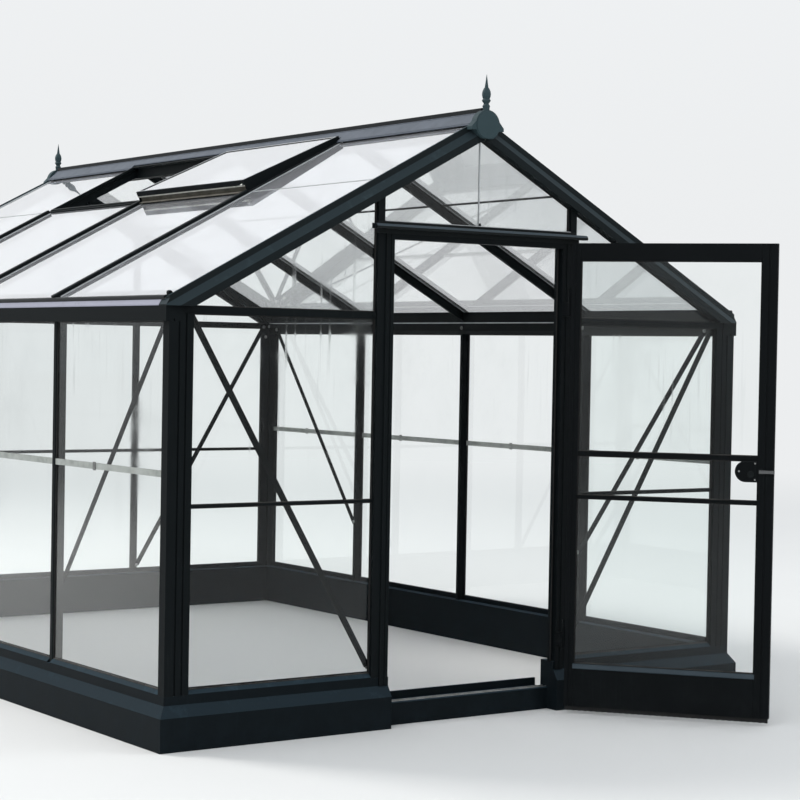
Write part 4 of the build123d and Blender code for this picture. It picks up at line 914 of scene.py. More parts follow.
class Finishes:
    """Every material of the object, made once."""

    def __init__(self) -> None:
        """Makes the shared effects and then each finish."""
        effects = Effects()
        self.frame = PowderCoat("anthracite frame coat", (0.0034, 0.0050, 0.0056, 1.0),
                                (0.0062, 0.0086, 0.0098, 1.0)).make(effects)
        # The base's and the rafters' blue dust colour, laid evenly on their upward faces, is
        # painted sky light with some patchy dust; the rafter coat is also a lighter copy of the
        # frame coat, as painted light.
        self.base = PowderCoat("anthracite base coat", (0.0040, 0.0068, 0.0088, 1.0),
                               (0.0060, 0.0094, 0.0116, 1.0), dust=(0.044, 0.076, 0.100, 1.0),
                               dusty=0.85, even=0.55, rainy=0.04, splashed=0.08,
                               roughness=0.46).make(effects)
        self.rafter = PowderCoat("anthracite rafter coat", (0.0060, 0.0092, 0.0104, 1.0),
                                 (0.0085, 0.0128, 0.0144, 1.0), dust=(0.070, 0.106, 0.124, 1.0),
                                 dusty=0.85, even=0.6, rainy=0.04, splashed=0.0, roughness=0.46,
                                 specular=0.09).make(effects)
        self.ridge = PowderCoat("weathered ridge coat", (0.070, 0.084, 0.108, 1.0),
                                (0.110, 0.128, 0.158, 1.0), dusty=0.4, rainy=0.1,
                                roughness=0.5, specular=0.25).make(effects)
        # A pale bluish sheet colour for the eaves' sloped faces: painted sky reflection, with dust
        # and run marks on it.
        self.gutter = PowderCoat("painted sky reflection on the eaves", (0.230, 0.235, 0.300, 1.0),
                                 (0.330, 0.335, 0.410, 1.0), dusty=0.3, rainy=0.3,
                                 roughness=0.45, specular=0.3).make(effects)
        self.bead = PowderCoat("ridge bead coat", (0.006, 0.008, 0.009, 1.0),
                               (0.011, 0.013, 0.015, 1.0), roughness=0.36,
                               specular=0.12).make(effects)
        self.castings = PowderCoat("cast aluminium coat", (0.0280, 0.0480, 0.0550, 1.0),
                                   (0.0400, 0.0670, 0.0750, 1.0), roughness=0.5,
                                   grain_height=0.0003, specular=0.12, wear=0.5).make(effects)
        self.door = PowderCoat("door frame coat", (0.0030, 0.0040, 0.0046, 1.0),
                               (0.0056, 0.0072, 0.0082, 1.0), wear=0.45).make(effects)
        self.cap = PowderCoat("drip cap coat", (0.0060, 0.0080, 0.0086, 1.0),
                              (0.0100, 0.0130, 0.0140, 1.0), dusty=0.6, specular=0.1).make(effects)
        # A pale bluish copy of the dark coat for upward-facing bevels and ledges: painted sky
        # light.
        self.ledge = PowderCoat("pale bluish coat with painted sky light", (0.030, 0.045, 0.056, 1.0),
                                (0.052, 0.072, 0.088, 1.0), specular=0.2).make(effects)
        self.pale_strip = BareMetal("pale joint strip", (0.36, 0.38, 0.36, 1.0),
                                    (0.24, 0.26, 0.24, 1.0), metallic=0.0,
                                    roughness=0.45).make(effects)
        # Pale strips on the vent sash's inner edges and on the eaves' seams stand for glints:
        # painted highlight.
        self.painted_highlight = BareMetal("pale painted highlight strip", (0.62, 0.64, 0.66, 1.0),
                                     (0.45, 0.47, 0.48, 1.0), metallic=0.0,
                                     roughness=0.4).make(effects)
        self.steel = BareMetal("brushed steel", (0.62, 0.62, 0.60, 1.0), (0.45, 0.45, 0.44, 1.0),
                               brushed_along=(0.05, 1.0, 1.0)).make(effects)
        self.lever = BareMetal("dulled lever metal", (0.105, 0.108, 0.110, 1.0),
                               (0.060, 0.062, 0.063, 1.0), brushed_along=(0.05, 1.0, 1.0),
                               metallic=0.0, roughness=0.36).make(effects)
        self.zinc = BareMetal("dull zinc fixings", (0.30, 0.31, 0.31, 1.0),
                              (0.16, 0.16, 0.15, 1.0), roughness=0.45).make(effects)
        self.flashing = BareMetal("weathered lead flashing", (0.058, 0.052, 0.036, 1.0),
                                  (0.036, 0.033, 0.024, 1.0), metallic=0.0,
                                  roughness=0.6).make(effects)
        self.rubber = Rubber("black glazing rubber", (0.008, 0.008, 0.008, 1.0),
                             (0.022, 0.022, 0.021, 1.0)).make(effects)
        self.pale_seal = Rubber("pale vent seal", (0.42, 0.42, 0.38, 1.0),
                                (0.26, 0.26, 0.23, 1.0), roughness=0.6).make(effects)
        self.silicone = Rubber("aged clear silicone", (0.42, 0.44, 0.45, 1.0),
                               (0.30, 0.31, 0.31, 1.0), roughness=0.4).make(effects)
        self.wall_glass = PaneGlass("wall glass").make(effects)
        self.roof_glass = PaneGlass("roof glass", tint=(0.93, 0.945, 0.985, 1.0),
                                    film=(0.84, 0.86, 0.90, 1.0), dusty=0.5, rainy=0.3,
                                    film_rough=0.2, clearness=0.76, hazy=(-1.0, 0.0),
                                    mirror=1.0, coat=1.0).make(effects)
        self.clean_roof_glass = PaneGlass("cleaner roof glass", tint=(0.955, 0.965, 0.975, 1.0),
                                          film=(0.84, 0.86, 0.88, 1.0), dusty=0.4, rainy=0.3,
                                          film_rough=0.2, clearness=0.92, hazy=(-1.0, 0.0),
                                          mirror=1.0, coat=0.6).make(effects)

    def by_node(self) -> dict[str, Material]:
        """The finish of each CAD node.

        Returns:
            The materials by node name.
        """
        groups = {
            self.base: ("base_left", "base_right", "base_rear", "base_front_left",
                        "base_front_right", "door_threshold"),
            self.rafter: ("rafter_front_left", "rafter_front_right", "rafter_rear_left",
                          "rafter_rear_right"),
            self.frame: ("corner_posts", "side_studs", "eave_left", "eave_right", "roof_bars",
                         "ridge_beam", "gable_rails", "gable_studs", "door_jambs", "door_head",
                         "gable_glazing_joints", "gable_braces", "side_braces", "vent_sills",
                         "vent_sash"),
            self.ridge: ("ridge_cap",),
            self.castings: ("ridge_end_front", "ridge_end_rear"),
            self.cap: ("door_drip_cap",),
            self.door: ("hinges_fixed", "hinges_moving", "door_lock_case", "door_hinge_stile",
                        "door_lock_stile", "door_top_rail", "door_bottom_rail",
                        "door_glazing_bars"),
            self.pale_strip: ("side_glazing_joints",),
            self.lever: ("door_handles",),
            self.wall_glass: ("glass_left", "glass_right", "glass_front", "glass_rear",
                              "glass_door"),
            self.roof_glass: ("glass_roof_left", "vent_sash_glass"),
            self.clean_roof_glass: ("glass_roof_right",),
        }
        return {name: material for material, names in groups.items() for name in names}

    def dress(self, nodes: dict[str, Object]) -> None:
        """Gives every CAD node its finish.

        Args:
            nodes: The CAD objects by name.
        """
        for name, material in self.by_node().items():
            mesh = nodes[name].data
            mesh.materials.clear()
            mesh.materials.append(material)
            LOG.info("%s: %s", name, material.name)


@dataclass
class GlazingBeads:
    """Rubber beads round every wall pane, on both faces of the glass."""

    width: float = 0.0045
    height: float = 0.0040
    tuck: float = 0.001
    sink: float = 0.0003
    layout: Layout = LAYOUT

    def profile(self) -> np.ndarray:
        """A quarter-round that leans from the frame down to the glass.

        Returns:
            Distances from the frame and heights over the glass.
        """
        w, h = self.width, self.height
        return np.array(((-self.tuck, -self.sink), (w, -self.sink), (0.92 * w, 0.45 * h),
                         (0.62 * w, 0.82 * h), (0.2 * w, h), (-self.tuck, h)))

    def wall(self, side: Side) -> Shell:
        """Beads of one long wall.

        Args:
            side: Which wall.

        Returns:
            The shell.
        """
        lay = self.layout
        shell = Shell(f"{side.name.lower()}_wall_beads")
        for x, sign in lay.pane_faces(side.value * lay.half_width, -side.value):
            low = lay.sill_top + (0.0 if sign == side.value else lay.sill_upstand)
            for start, end in lay.wall_bays():
                corners = np.insert(rectangle(start, end, low, lay.eave_bottom), 0, x, axis=1)
                shell.frame_round(corners, (sign, 0, 0), self.profile())
        return shell

    def gable_outlines(self, rear: bool, inside: bool) -> list[np.ndarray]:
        """Outlines of a gable's clear panes as X and Z, for the front or the rear.

        Args:
            rear: True for the rear gable, which has panes where the front has its door.
            inside: True for the inner face, where the sill stands up behind the glass.

        Returns:
            One array of corners by 2 for each pane.
        """
        lay = self.layout
        sill = lay.sill_top + (lay.sill_upstand if inside else 0.0)
        spans = ((sill, lay.gable_joint - lay.gable_joint_half),
                 (lay.gable_joint + lay.gable_joint_half, lay.rail_bottom))
        rise = lay.eave_seam - lay.eave_line + lay.rafter_depth / math.cos(lay.pitch)
        tip = lay.half_width - rise / math.tan(lay.pitch)
        outlines = []
        for sign in (-1, 1):
            inner = sign * lay.jamb_outer
            outlines += [rectangle(sign * lay.post_inner, inner, *span) for span in spans]
            outlines.append(np.array(((sign * tip, lay.eave_seam), (inner, lay.eave_seam),
                                      (inner, lay.rafter_underside(inner)))))
        foot = lay.eave_seam if rear else lay.drip_cap_top
        edge = lay.stud_inner
        shoulder = lay.rafter_underside(edge)
        outlines.append(np.array(((-edge, foot), (edge, foot), (edge, shoulder),
                                  (0.0, lay.rafter_underside(0.0)), (-edge, shoulder))))
        if rear:
            outlines += [rectangle(-edge, edge, *span) for span in spans]
        return outlines

    def gable(self, rear: bool) -> Shell:
        """Beads of one gable.

        Args:
            rear: True for the rear gable.

        Returns:
            The shell.
        """
        lay = self.layout
        shell = Shell("rear_gable_beads" if rear else "front_gable_beads")
        face, inwards = lay.gables[1 if rear else 0]
        for y, sign in lay.pane_faces(face, inwards):
            for outline in self.gable_outlines(rear, sign == inwards):
                shell.frame_round(np.insert(outline, 1, y, axis=1), (0, sign, 0), self.profile())
        return shell

    def build(self, finishes: Finishes) -> None:
        """Builds the beads of both walls and both gables."""
        for shell in (*map(self.wall, Side), self.gable(rear=False), self.gable(rear=True)):
            shell.build(finishes.rubber)


@dataclass
class RoofTrim:
    """What dresses the slopes: eave rubbers, pale sheets on the eaves' sloped faces that paint the
    sky's reflection, joint strips, seals and covers.
    """

    rubber_end_gap: float = 0.032
    reflection_foot: float = 1.7842
    reflection_end_gap: float = 0.061
    joint_width: float = 0.005
    dark_joint_width: float = 0.013
    joint_height: float = 0.0016
    joint_bevel: float = 0.0006
    seal: Pair = (0.004, 0.003)
    seal_foot: float = 0.030
    seal_top_gap: float = 0.060
    cover: Pair = (0.0285, 0.011)
    cover_bevel: float = 0.0035
    cover_foot: float = 0.002
    cover_vent_gap: float = 0.002
    cover_top_gap: float = 0.090
    stop: Pair = (0.020, 0.015)
    stop_span: Pair = (0.012, 0.030)
    stop_at: Pair = (0.016, 0.0042)
    vent_bays: tuple[int, ...] = (1, 2)
    layout: Layout = LAYOUT

    def eave_rubber(self, side: Side) -> Shell:
        """A slim rubber channel over the roof panes' lower edges.

        Args:
            side: Which slope.

        Returns:
            The shell.
        """
        lay = self.layout
        shell = Shell(f"{side.name.lower()}_eave_glass_rubber")
        profile = millimetres((13, -2.5), (13, 2.2), (4, 6.2), (-5.5, 6.2), (-10, 1.5),
                              (-10, -7.5), (-8.2, -8.5), (-7.4, -3))
        start = lay.on_slope(side, lay.front + self.rubber_end_gap, 0.0, 0.0)
        end = lay.on_slope(side, lay.rear - self.rubber_end_gap, 0.0, 0.0)
        shell.sweep(profile, start, end, *lay.slope_directions(side))
        return shell

    def gutter_sky_reflection_sheet(self, side: Side) -> Shell:
        """A thin pale sheet on the eave's sloped outer face: painted sky reflection, with dust and
        run marks.

        Args:
            side: Which eave.

        Returns:
            The shell.
        """
        lay = self.layout
        shell = Shell(f"{side.name.lower()}_gutter_sky_reflection")
        outline = millimetres((14.8, 0), (16.2, 0), (16.2, 4.2), (2, 28.2), (0.2, 28.2),
                              (14.8, 3.6))
        x = side.value * lay.half_width
        shell.sweep(outline, (x, lay.front + self.reflection_end_gap, self.reflection_foot),
                    (x, lay.rear - self.reflection_end_gap, self.reflection_foot),
                    (side.value, 0, 0), (0, 0, 1))
        return shell

    def joints(self, side: Side) -> Shell:
        """Flat strips over the joints between the upper and lower panes of a slope.

        Args:
            side: Which slope.

        Returns:
            The shell.
        """
        lay = self.layout
        shell = Shell(f"{side.name.lower()}_slope_joint_strips")
        up, square = lay.slope_directions(side)
        width = self.joint_width if side is Side.LEFT else self.dark_joint_width
        profile = bevelled_strip(width, self.joint_height, self.joint_bevel)
        upper = -lay.glass_sink
        for index, (start, end) in enumerate(lay.roof_bays()):
            if side is Side.LEFT and index in self.vent_bays:
                continue
            for height, sign in ((upper, 1), (upper - lay.glass_thickness, -1)):
                first = lay.on_slope(side, start, lay.vent_sill_at, height)
                last = lay.on_slope(side, end, lay.vent_sill_at, height)
                shell.sweep(profile, first, last, up, square * sign)
        return shell

    def seals(self, side: Side) -> Shell:
        """Thin rubber lips beside the bars' caps and the rafters, on the panes' upper faces.

        Args:
            side: Which slope.

        Returns:
            The shell.
        """
        lay = self.layout
        shell = Shell(f"{side.name.lower()}_roof_bar_seals")
        square = lay.slope_directions(side)[1]
        profile = half_round(*self.seal, 5)
        half = self.seal[0] / 2
        for index, (start, end) in enumerate(lay.roof_bays()):
            vented = side is Side.LEFT and index in self.vent_bays
            high = lay.vent_foot if vented else lay.slope_length - self.seal_top_gap
            for y in (start + half, end - half):
                first = lay.on_slope(side, y, self.seal_foot, -lay.glass_sink)
                last = lay.on_slope(side, y, high, -lay.glass_sink)
                shell.sweep(profile, first, last, (0, 1, 0), square)
        return shell

    def bar_covers(self, side: Side) -> Shell:
        """Snap-on covers on the roof bars' caps: on the left slope they stop below the vents.

        Args:
            side: Which slope.

        Returns:
            The shell.
        """
        lay = self.layout
        shell = Shell(f"{side.name.lower()}_roof_bar_covers")
        square = lay.slope_directions(side)[1]
        profile = bevelled_strip(*self.cover, self.cover_bevel)
        top = lay.slope_length - self.cover_top_gap
        if side is Side.LEFT:
            top = lay.vent_foot - self.cover_vent_gap
        for y in lay.bar_lines:
            shell.sweep(profile, lay.on_slope(side, y, self.cover_foot, lay.sash_base),
                        lay.on_slope(side, y, top, lay.sash_base), (0, 1, 0), square)
        return shell

    def rafter_stops(self) -> Shell:
        """A small rounded stop on each rafter's foot, over the first pane's corner.

        Returns:
            The shell.
        """
        lay = self.layout
        shell = Shell("rafter_foot_stops")
        near, far = self.stop_span
        for side in Side:
            for start, end in ((lay.front + near, lay.front + far),
                               (lay.rear - far, lay.rear - near)):
                shell.sweep(half_round(*self.stop, 9), lay.on_slope(side, start, *self.stop_at),
                            lay.on_slope(side, end, *self.stop_at), *lay.slope_directions(side))
        return shell

    def build(self, finishes: Finishes) -> None:
        """Builds the trim of both slopes.

        Args:
            finishes: The object's finishes.
        """
        for side in Side:
            self.eave_rubber(side).build(finishes.bead)
            self.bar_covers(side).build(finishes.frame)
            # The eaves' pale sheets are painted sky reflection.
            self.gutter_sky_reflection_sheet(side).build(finishes.gutter)
            self.joints(side).build(finishes.silicone if side is Side.LEFT else finishes.rubber)
            self.seals(side).build(finishes.silicone)
        self.rafter_stops().build(finishes.frame)


@dataclass
class RidgeTrim:
    """The dark bead along the ridge and the ribs pressed into its wings."""

    bead_width: float = 0.028
    bead_top: float = 2.6940
    bead_height: float = 0.0240
    bead_crown: float = 0.0035
    bead_wall: float = 0.0022
    bead_roof: float = 0.004
    bead_end_gap: float = 0.0004
    cap_edge: float = 0.076
    cap_vent_edge: float = 0.048
    wing_start: float = 0.013
    wing_top: float = 2.674
    wing_thickness: float = 0.004
    wing_gap: float = 0.0003
    rib: Pair = (0.0045, 0.0022)
    rib_at: tuple[float, ...] = (0.08, 0.92)
    rib_end_gap: float = 0.001
    rib_vent_gap: float = 0.002
    layout: Layout = LAYOUT

    def wing_point(self, share: float) -> Pair:
        """A point of a wing's upper face, on a straight line from the crest to the edge.

        Args:
            share: Share of the wing's width, from the crest.

        Returns:
            X, counted outwards, and Z.
        """
        lay = self.layout
        lift = lay.sash_base / math.cos(lay.pitch) + self.wing_gap + self.wing_thickness
        edge = lay.ridge_line - self.cap_edge * math.tan(lay.pitch) + lift
        x = self.wing_start + share * (self.cap_edge - self.wing_start)
        return x, self.wing_top + share * (edge - self.wing_top)

    def bead(self) -> Shell:
        """A rounded bead over the cap's crest, open below, carried from end to end.

        Returns:
            The shell.
        """
        lay = self.layout
        shell = Shell("ridge_crest_bead")
        half, inner = self.bead_width / 2, self.bead_width / 2 - self.bead_wall
        low, roof = self.bead_top - self.bead_height, self.bead_height - self.bead_roof
        crown = half_round(self.bead_width, self.bead_crown, 9)
        crown = crown + (0.0, self.bead_height - self.bead_crown)
        profile = np.vstack(((half, 0.0), crown[1:-1], (-half, 0.0), (-inner, 0.0), (-inner, roof),
                             (inner, roof), (inner, 0.0)))
        shell.sweep(profile, (0, lay.front + self.bead_end_gap, low),
                    (0, lay.rear - self.bead_end_gap, low), (1, 0, 0), (0, 0, 1))
        return shell

    def ribs(self) -> Shell:
        """Half-round ribs along both wings; the left wing's stop where the vents cut it back.

        Returns:
            The shell.
        """
        lay = self.layout
        shell = Shell("ridge_wing_ribs")
        start, end = lay.front + self.rib_end_gap, lay.rear - self.rib_end_gap
        first, last = lay.bar_lines[0] - self.rib_vent_gap, lay.bar_lines[-1] + self.rib_vent_gap
        fall = self.wing_point(1.0)[1] - self.wing_top
        for side in Side:
            slope = unit((side.value * (self.cap_edge - self.wing_start), 0.0, fall))
            up = unit(np.cross(slope, (0.0, 1.0, 0.0)))
            up = up * np.sign(up[2])
            for share in self.rib_at:
                x, z = self.wing_point(share)
                cut = side is Side.LEFT and x + self.rib[0] > self.cap_vent_edge
                runs = ((start, first), (last, end)) if cut else ((start, end),)
                for near, far in runs:
                    shell.sweep(half_round(*self.rib, 5), (side.value * x, near, z),
                                (side.value * x, far, z), slope, up)
        return shell

    def build(self, finishes: Finishes) -> None:
        """Builds the bead and the ribs."""
        self.bead().build(finishes.bead, Slot.RIDGE)
        self.ribs().build(finishes.ridge, Slot.RIDGE)


@dataclass
class VentTrim:
    """What belongs to the raised vent and the open one: a strip of painted highlight and other
    trims, seals, flashing, hinge and catch.
    """

    bay: int = 1
    open_bay: int = 2
    # Width and height of the pale strip that paints a highlight along the sash's inner edges.
    trim: Pair = (0.005, 0.0012)
    highlight_bevel: float = 0.0006
    highlight_gap: float = 0.001
    bead_drop: float = 0.003
    seal_end_gap: float = 0.001
    skirt_samples: int = 12
    skirt_ends: Pair = (0.002, 0.004)
    skirt_inset: float = 0.0002
    skirt_thickness: float = 0.0018
    skirt_overlap: float = 0.0004
    skirt_clearance: float = 0.0008
    skirt_least: float = 0.001
    flashing_height: float = 0.027
    flashing_fold: float = 0.003
    flashing_at: float = 0.006
    curb_top_gap: float = 0.066
    hinge_radius: float = 0.0045
    hinge_end_gap: float = 0.004
    hinge_at: Pair = (0.0035, 0.006)
    stay: Pair = (0.014, 0.003)
    stay_bevel: float = 0.0008
    stay_top: Pair = (0.020, 0.034)
    stay_foot: Pair = (0.110, -0.065)
    stay_bend: Point = (-0.004, 0.0, -0.006)
    catch_at: Point = (0.016, 0.002, 0.002)
    catch_lean: Pair = (0.012, 0.0)
    layout: Layout = LAYOUT

    def spot(self, y: Measure, along: Measure, height: Measure = 0.0) -> np.ndarray:
        """Points of the vents' slope, by their height over the bars' caps."""
        return self.layout.on_slope(Side.LEFT, y, along, self.layout.sash_base + height)

    def sash_span(self) -> tuple[float, float, float, float]:
        """Where the raised sash lies when shut.

        Returns:
            Its start and end along Y, and its lower and upper edge up the slope.
        """
        lay = self.layout
        start, end = lay.roof_bays()[self.bay]
        inset = lay.cap_half_width - lay.vent_side_gap
        return start - inset, end + inset, lay.vent_foot, lay.slope_length - lay.vent_top_margin

    def raise_points(self, points: np.ndarray) -> np.ndarray:
        """Points of the shut sash turned about its upper edge by the vent's angle.

        Args:
            points: Points, with three coordinates last.

        Returns:
            The points on the raised sash.
        """
        pivot = self.spot(0.0, self.sash_span()[3])
        angle = math.radians(self.layout.vent_angle)
        moved = points - pivot
        x = moved[..., 0] * math.cos(angle) + moved[..., 2] * math.sin(angle)
        z = -moved[..., 0] * math.sin(angle) + moved[..., 2] * math.cos(angle)
        return np.stack((x + pivot[0], points[..., 1], z + pivot[2]), axis=-1)

    def sash_ring(self, name: str, inset: float, height: float, profile: np.ndarray) -> Shell:
        """A profile round the sash, on its upper face, then raised with it.

        Args:
            name: The shell's name.
            inset: Distance inwards from the sash's edges.
            height: Height over the sash's underside.
            profile: Distances further inwards, and heights.

        Returns:
            The shell.
        """
        start, end, low, high = self.sash_span()
        outline = rectangle(start + inset, end - inset, low + inset, high - inset)
        shell = Shell(name)
        shell.frame_round(self.spot(outline[:, 0], outline[:, 1], height),
                          self.layout.slope_directions(Side.LEFT)[1], profile)
        shell.move(self.raise_points)
        return shell

    def edge_highlight_strip(self) -> Shell:
        """A pale strip inside the sash's members, over the bead: a painted highlight along their
        inner edges.

        Returns:
            The shell.
        """
        lay = self.layout
        (w, h), bevel = self.trim, self.highlight_bevel
        profile = np.array(((0.0, 0.0), (w, 0.0), (w - bevel, h), (bevel, h)))
        inset = lay.sash_member - w - self.highlight_gap
        return self.sash_ring("vent_sash_highlight", inset, lay.sash_depth, profile)

    def glass_bead(self) -> Shell:
        """The rubber bead inside the sash, on the pane.

        Returns:
            The shell.
        """
        lay = self.layout
        profile = millimetres((-1, -0.5), (4, -0.5), (3, 2), (-1, 2.6))
        return self.sash_ring("vent_sash_bead", lay.sash_member, lay.sash_depth - self.bead_drop,
                              profile)

    def foot_seal(self) -> Shell:
        """A pale rubber seal under the sash's foot member.

        Returns:
            The shell.
        """
        start, end, low, _ = self.sash_span()
        shell = Shell("vent_foot_seal")
        profile = millimetres((0.4, -6.5), (8, -6.5), (8, 0.4), (0.4, 0.4))
        shell.sweep(profile, self.spot(start + self.seal_end_gap, low),
                    self.spot(end - self.seal_end_gap, low),
                    *self.layout.slope_directions(Side.LEFT))
        shell.move(self.raise_points)
        return shell

    def side_skirts(self) -> Shell:
        """Tapered flanges that close the sash's sides: a wedge from the hinge to the foot, whose
        depth grows with the distance from the hinge as the raised sash's own does.

        Returns:
            The shell.
        """
        start, end, low, high = self.sash_span()
        shell = Shell("vent_side_skirts")
        along = np.linspace(low + self.skirt_ends[0], high - self.skirt_ends[1], self.skirt_samples)
        drop = (high - along) * math.tan(math.radians(self.layout.vent_angle))
        foot = -np.maximum(drop - self.skirt_clearance, self.skirt_least)
        top = np.full_like(along, self.skirt_overlap)
        for edge, inwards in ((start + self.skirt_inset, 1), (end - self.skirt_inset, -1)):
            inner = edge + inwards * self.skirt_thickness
            ring = [self.spot(y, along, height)
                    for y, height in ((edge, top), (edge, foot), (inner, foot), (inner, top))]
            shell.grid(np.stack(ring, axis=1), round_columns=True, capped=True)
        shell.move(self.raise_points)
        return shell

    def flashing(self) -> Shell:
        """A folded plate on the raised vent's sill: a foot, a standing part and a folded top.

        Returns:
            The shell.
        """
        lay = self.layout
        shell = Shell("vent_sill_flashing")
        top, fold = self.flashing_height, self.flashing_height + self.flashing_fold
        profile = np.array(((-0.020, 0.0), (0.004, 0.0), (0.004, top), (0.012, top), (0.012, fold),
                            (0.0015, fold), (0.0015, 0.0022), (-0.020, 0.0022)))
        start, end = lay.roof_bays()[self.bay]
        along = lay.vent_foot + self.flashing_at
        shell.sweep(profile, self.spot(start, along), self.spot(end, along),
                    *lay.slope_directions(Side.LEFT))
        return shell

    def open_curb(self) -> Shell:
        """A low curb round the open vent, on its bars and sill.

        Returns:
            The shell.
        """
        lay = self.layout
        shell = Shell("open_vent_curb")
        low = lay.vent_sill_at + lay.vent_sill_half
        high = lay.slope_length - self.curb_top_gap
        outline = rectangle(*lay.roof_bays()[self.open_bay], low, high)
        profile = millimetres((-15.5, -4), (-15.5, 4), (-12.5, 6), (-3, 6), (-0.5, 3.5), (-0.5, -4))
        shell.frame_round(self.spot(outline[:, 0], outline[:, 1]),
                          lay.slope_directions(Side.LEFT)[1], profile)
        return shell

    def hinge_rod(self) -> Shell:
        """The rod that the sash hangs on, along its upper edge.

        Returns:
            The shell.
        """
        start, end, _, high = self.sash_span()
        along, height = high + self.hinge_at[0], self.hinge_at[1]
        shell = Shell("vent_hinge_rod")
        shell.sweep(arc_points(self.hinge_radius, 0.0, 330.0, 12),
                    self.spot(start + self.hinge_end_gap, along, height),
                    self.spot(end - self.hinge_end_gap, along, height), (1, 0, 0), (0, 0, 1))
        return shell

    def stay_strip(self) -> Shell:
        """The flat stay that holds the sash open: a strip along the quadratic curve through its
        top and its foot, drawn towards a bend.

        Returns:
            The shell.
        """
        start, end, low, _ = self.sash_span()
        middle = (start + end) / 2
        shell = Shell("vent_stay")
        top = self.spot(middle, low + self.stay_top[0], self.stay_top[1])
        foot = self.spot(middle, low + self.stay_foot[0], self.stay_foot[1])
        bend = (top + foot) / 2 + self.stay_bend
        share = np.linspace(0.0, 1.0, 9)[:, None]
        path = (1 - share) ** 2 * top + 2 * share * (1 - share) * bend + share ** 2 * foot
        shell.follow(bevelled_strip(*self.stay, self.stay_bevel), path, (0, 1, 0))
        return shell

    def catch(self) -> Shell:
        """A small bright catch at the sash's lower corner, turned from a profile.

        Returns:
            The shell.
        """
        start, _, low, _ = self.sash_span()
        shell = Shell("vent_corner_catch")
        y, along, height = self.catch_at
        base = self.spot(start + y, low + along, height)
        lean = self.spot(start + y, low + self.catch_lean[0], self.catch_lean[1])
        profile = millimetres((5.5, 0), (5.5, 8), (4, 10), (2.5, 16))
        shell.turned(profile, base, base - lean, 12)
        shell.move(self.raise_points)
        return shell

    def build(self, finishes: Finishes) -> None:
        """Builds the vents' trims.

        Args:
            finishes: The object's finishes.
        """
        # The pale edge strip is a painted highlight.
        self.edge_highlight_strip().build(finishes.painted_highlight, Slot.BARE_ALUMINIUM)
        self.side_skirts().build(finishes.frame)
        self.glass_bead().build(finishes.rubber)
        self.foot_seal().build(finishes.pale_seal)
        self.flashing().build(finishes.flashing, Slot.BARE_ALUMINIUM)
        self.open_curb().build(finishes.frame)
        self.hinge_rod().build(finishes.frame, smooth=True)
        self.stay_strip().build(finishes.zinc, Slot.STEEL)
        self.catch().build(finishes.steel, Slot.STEEL)


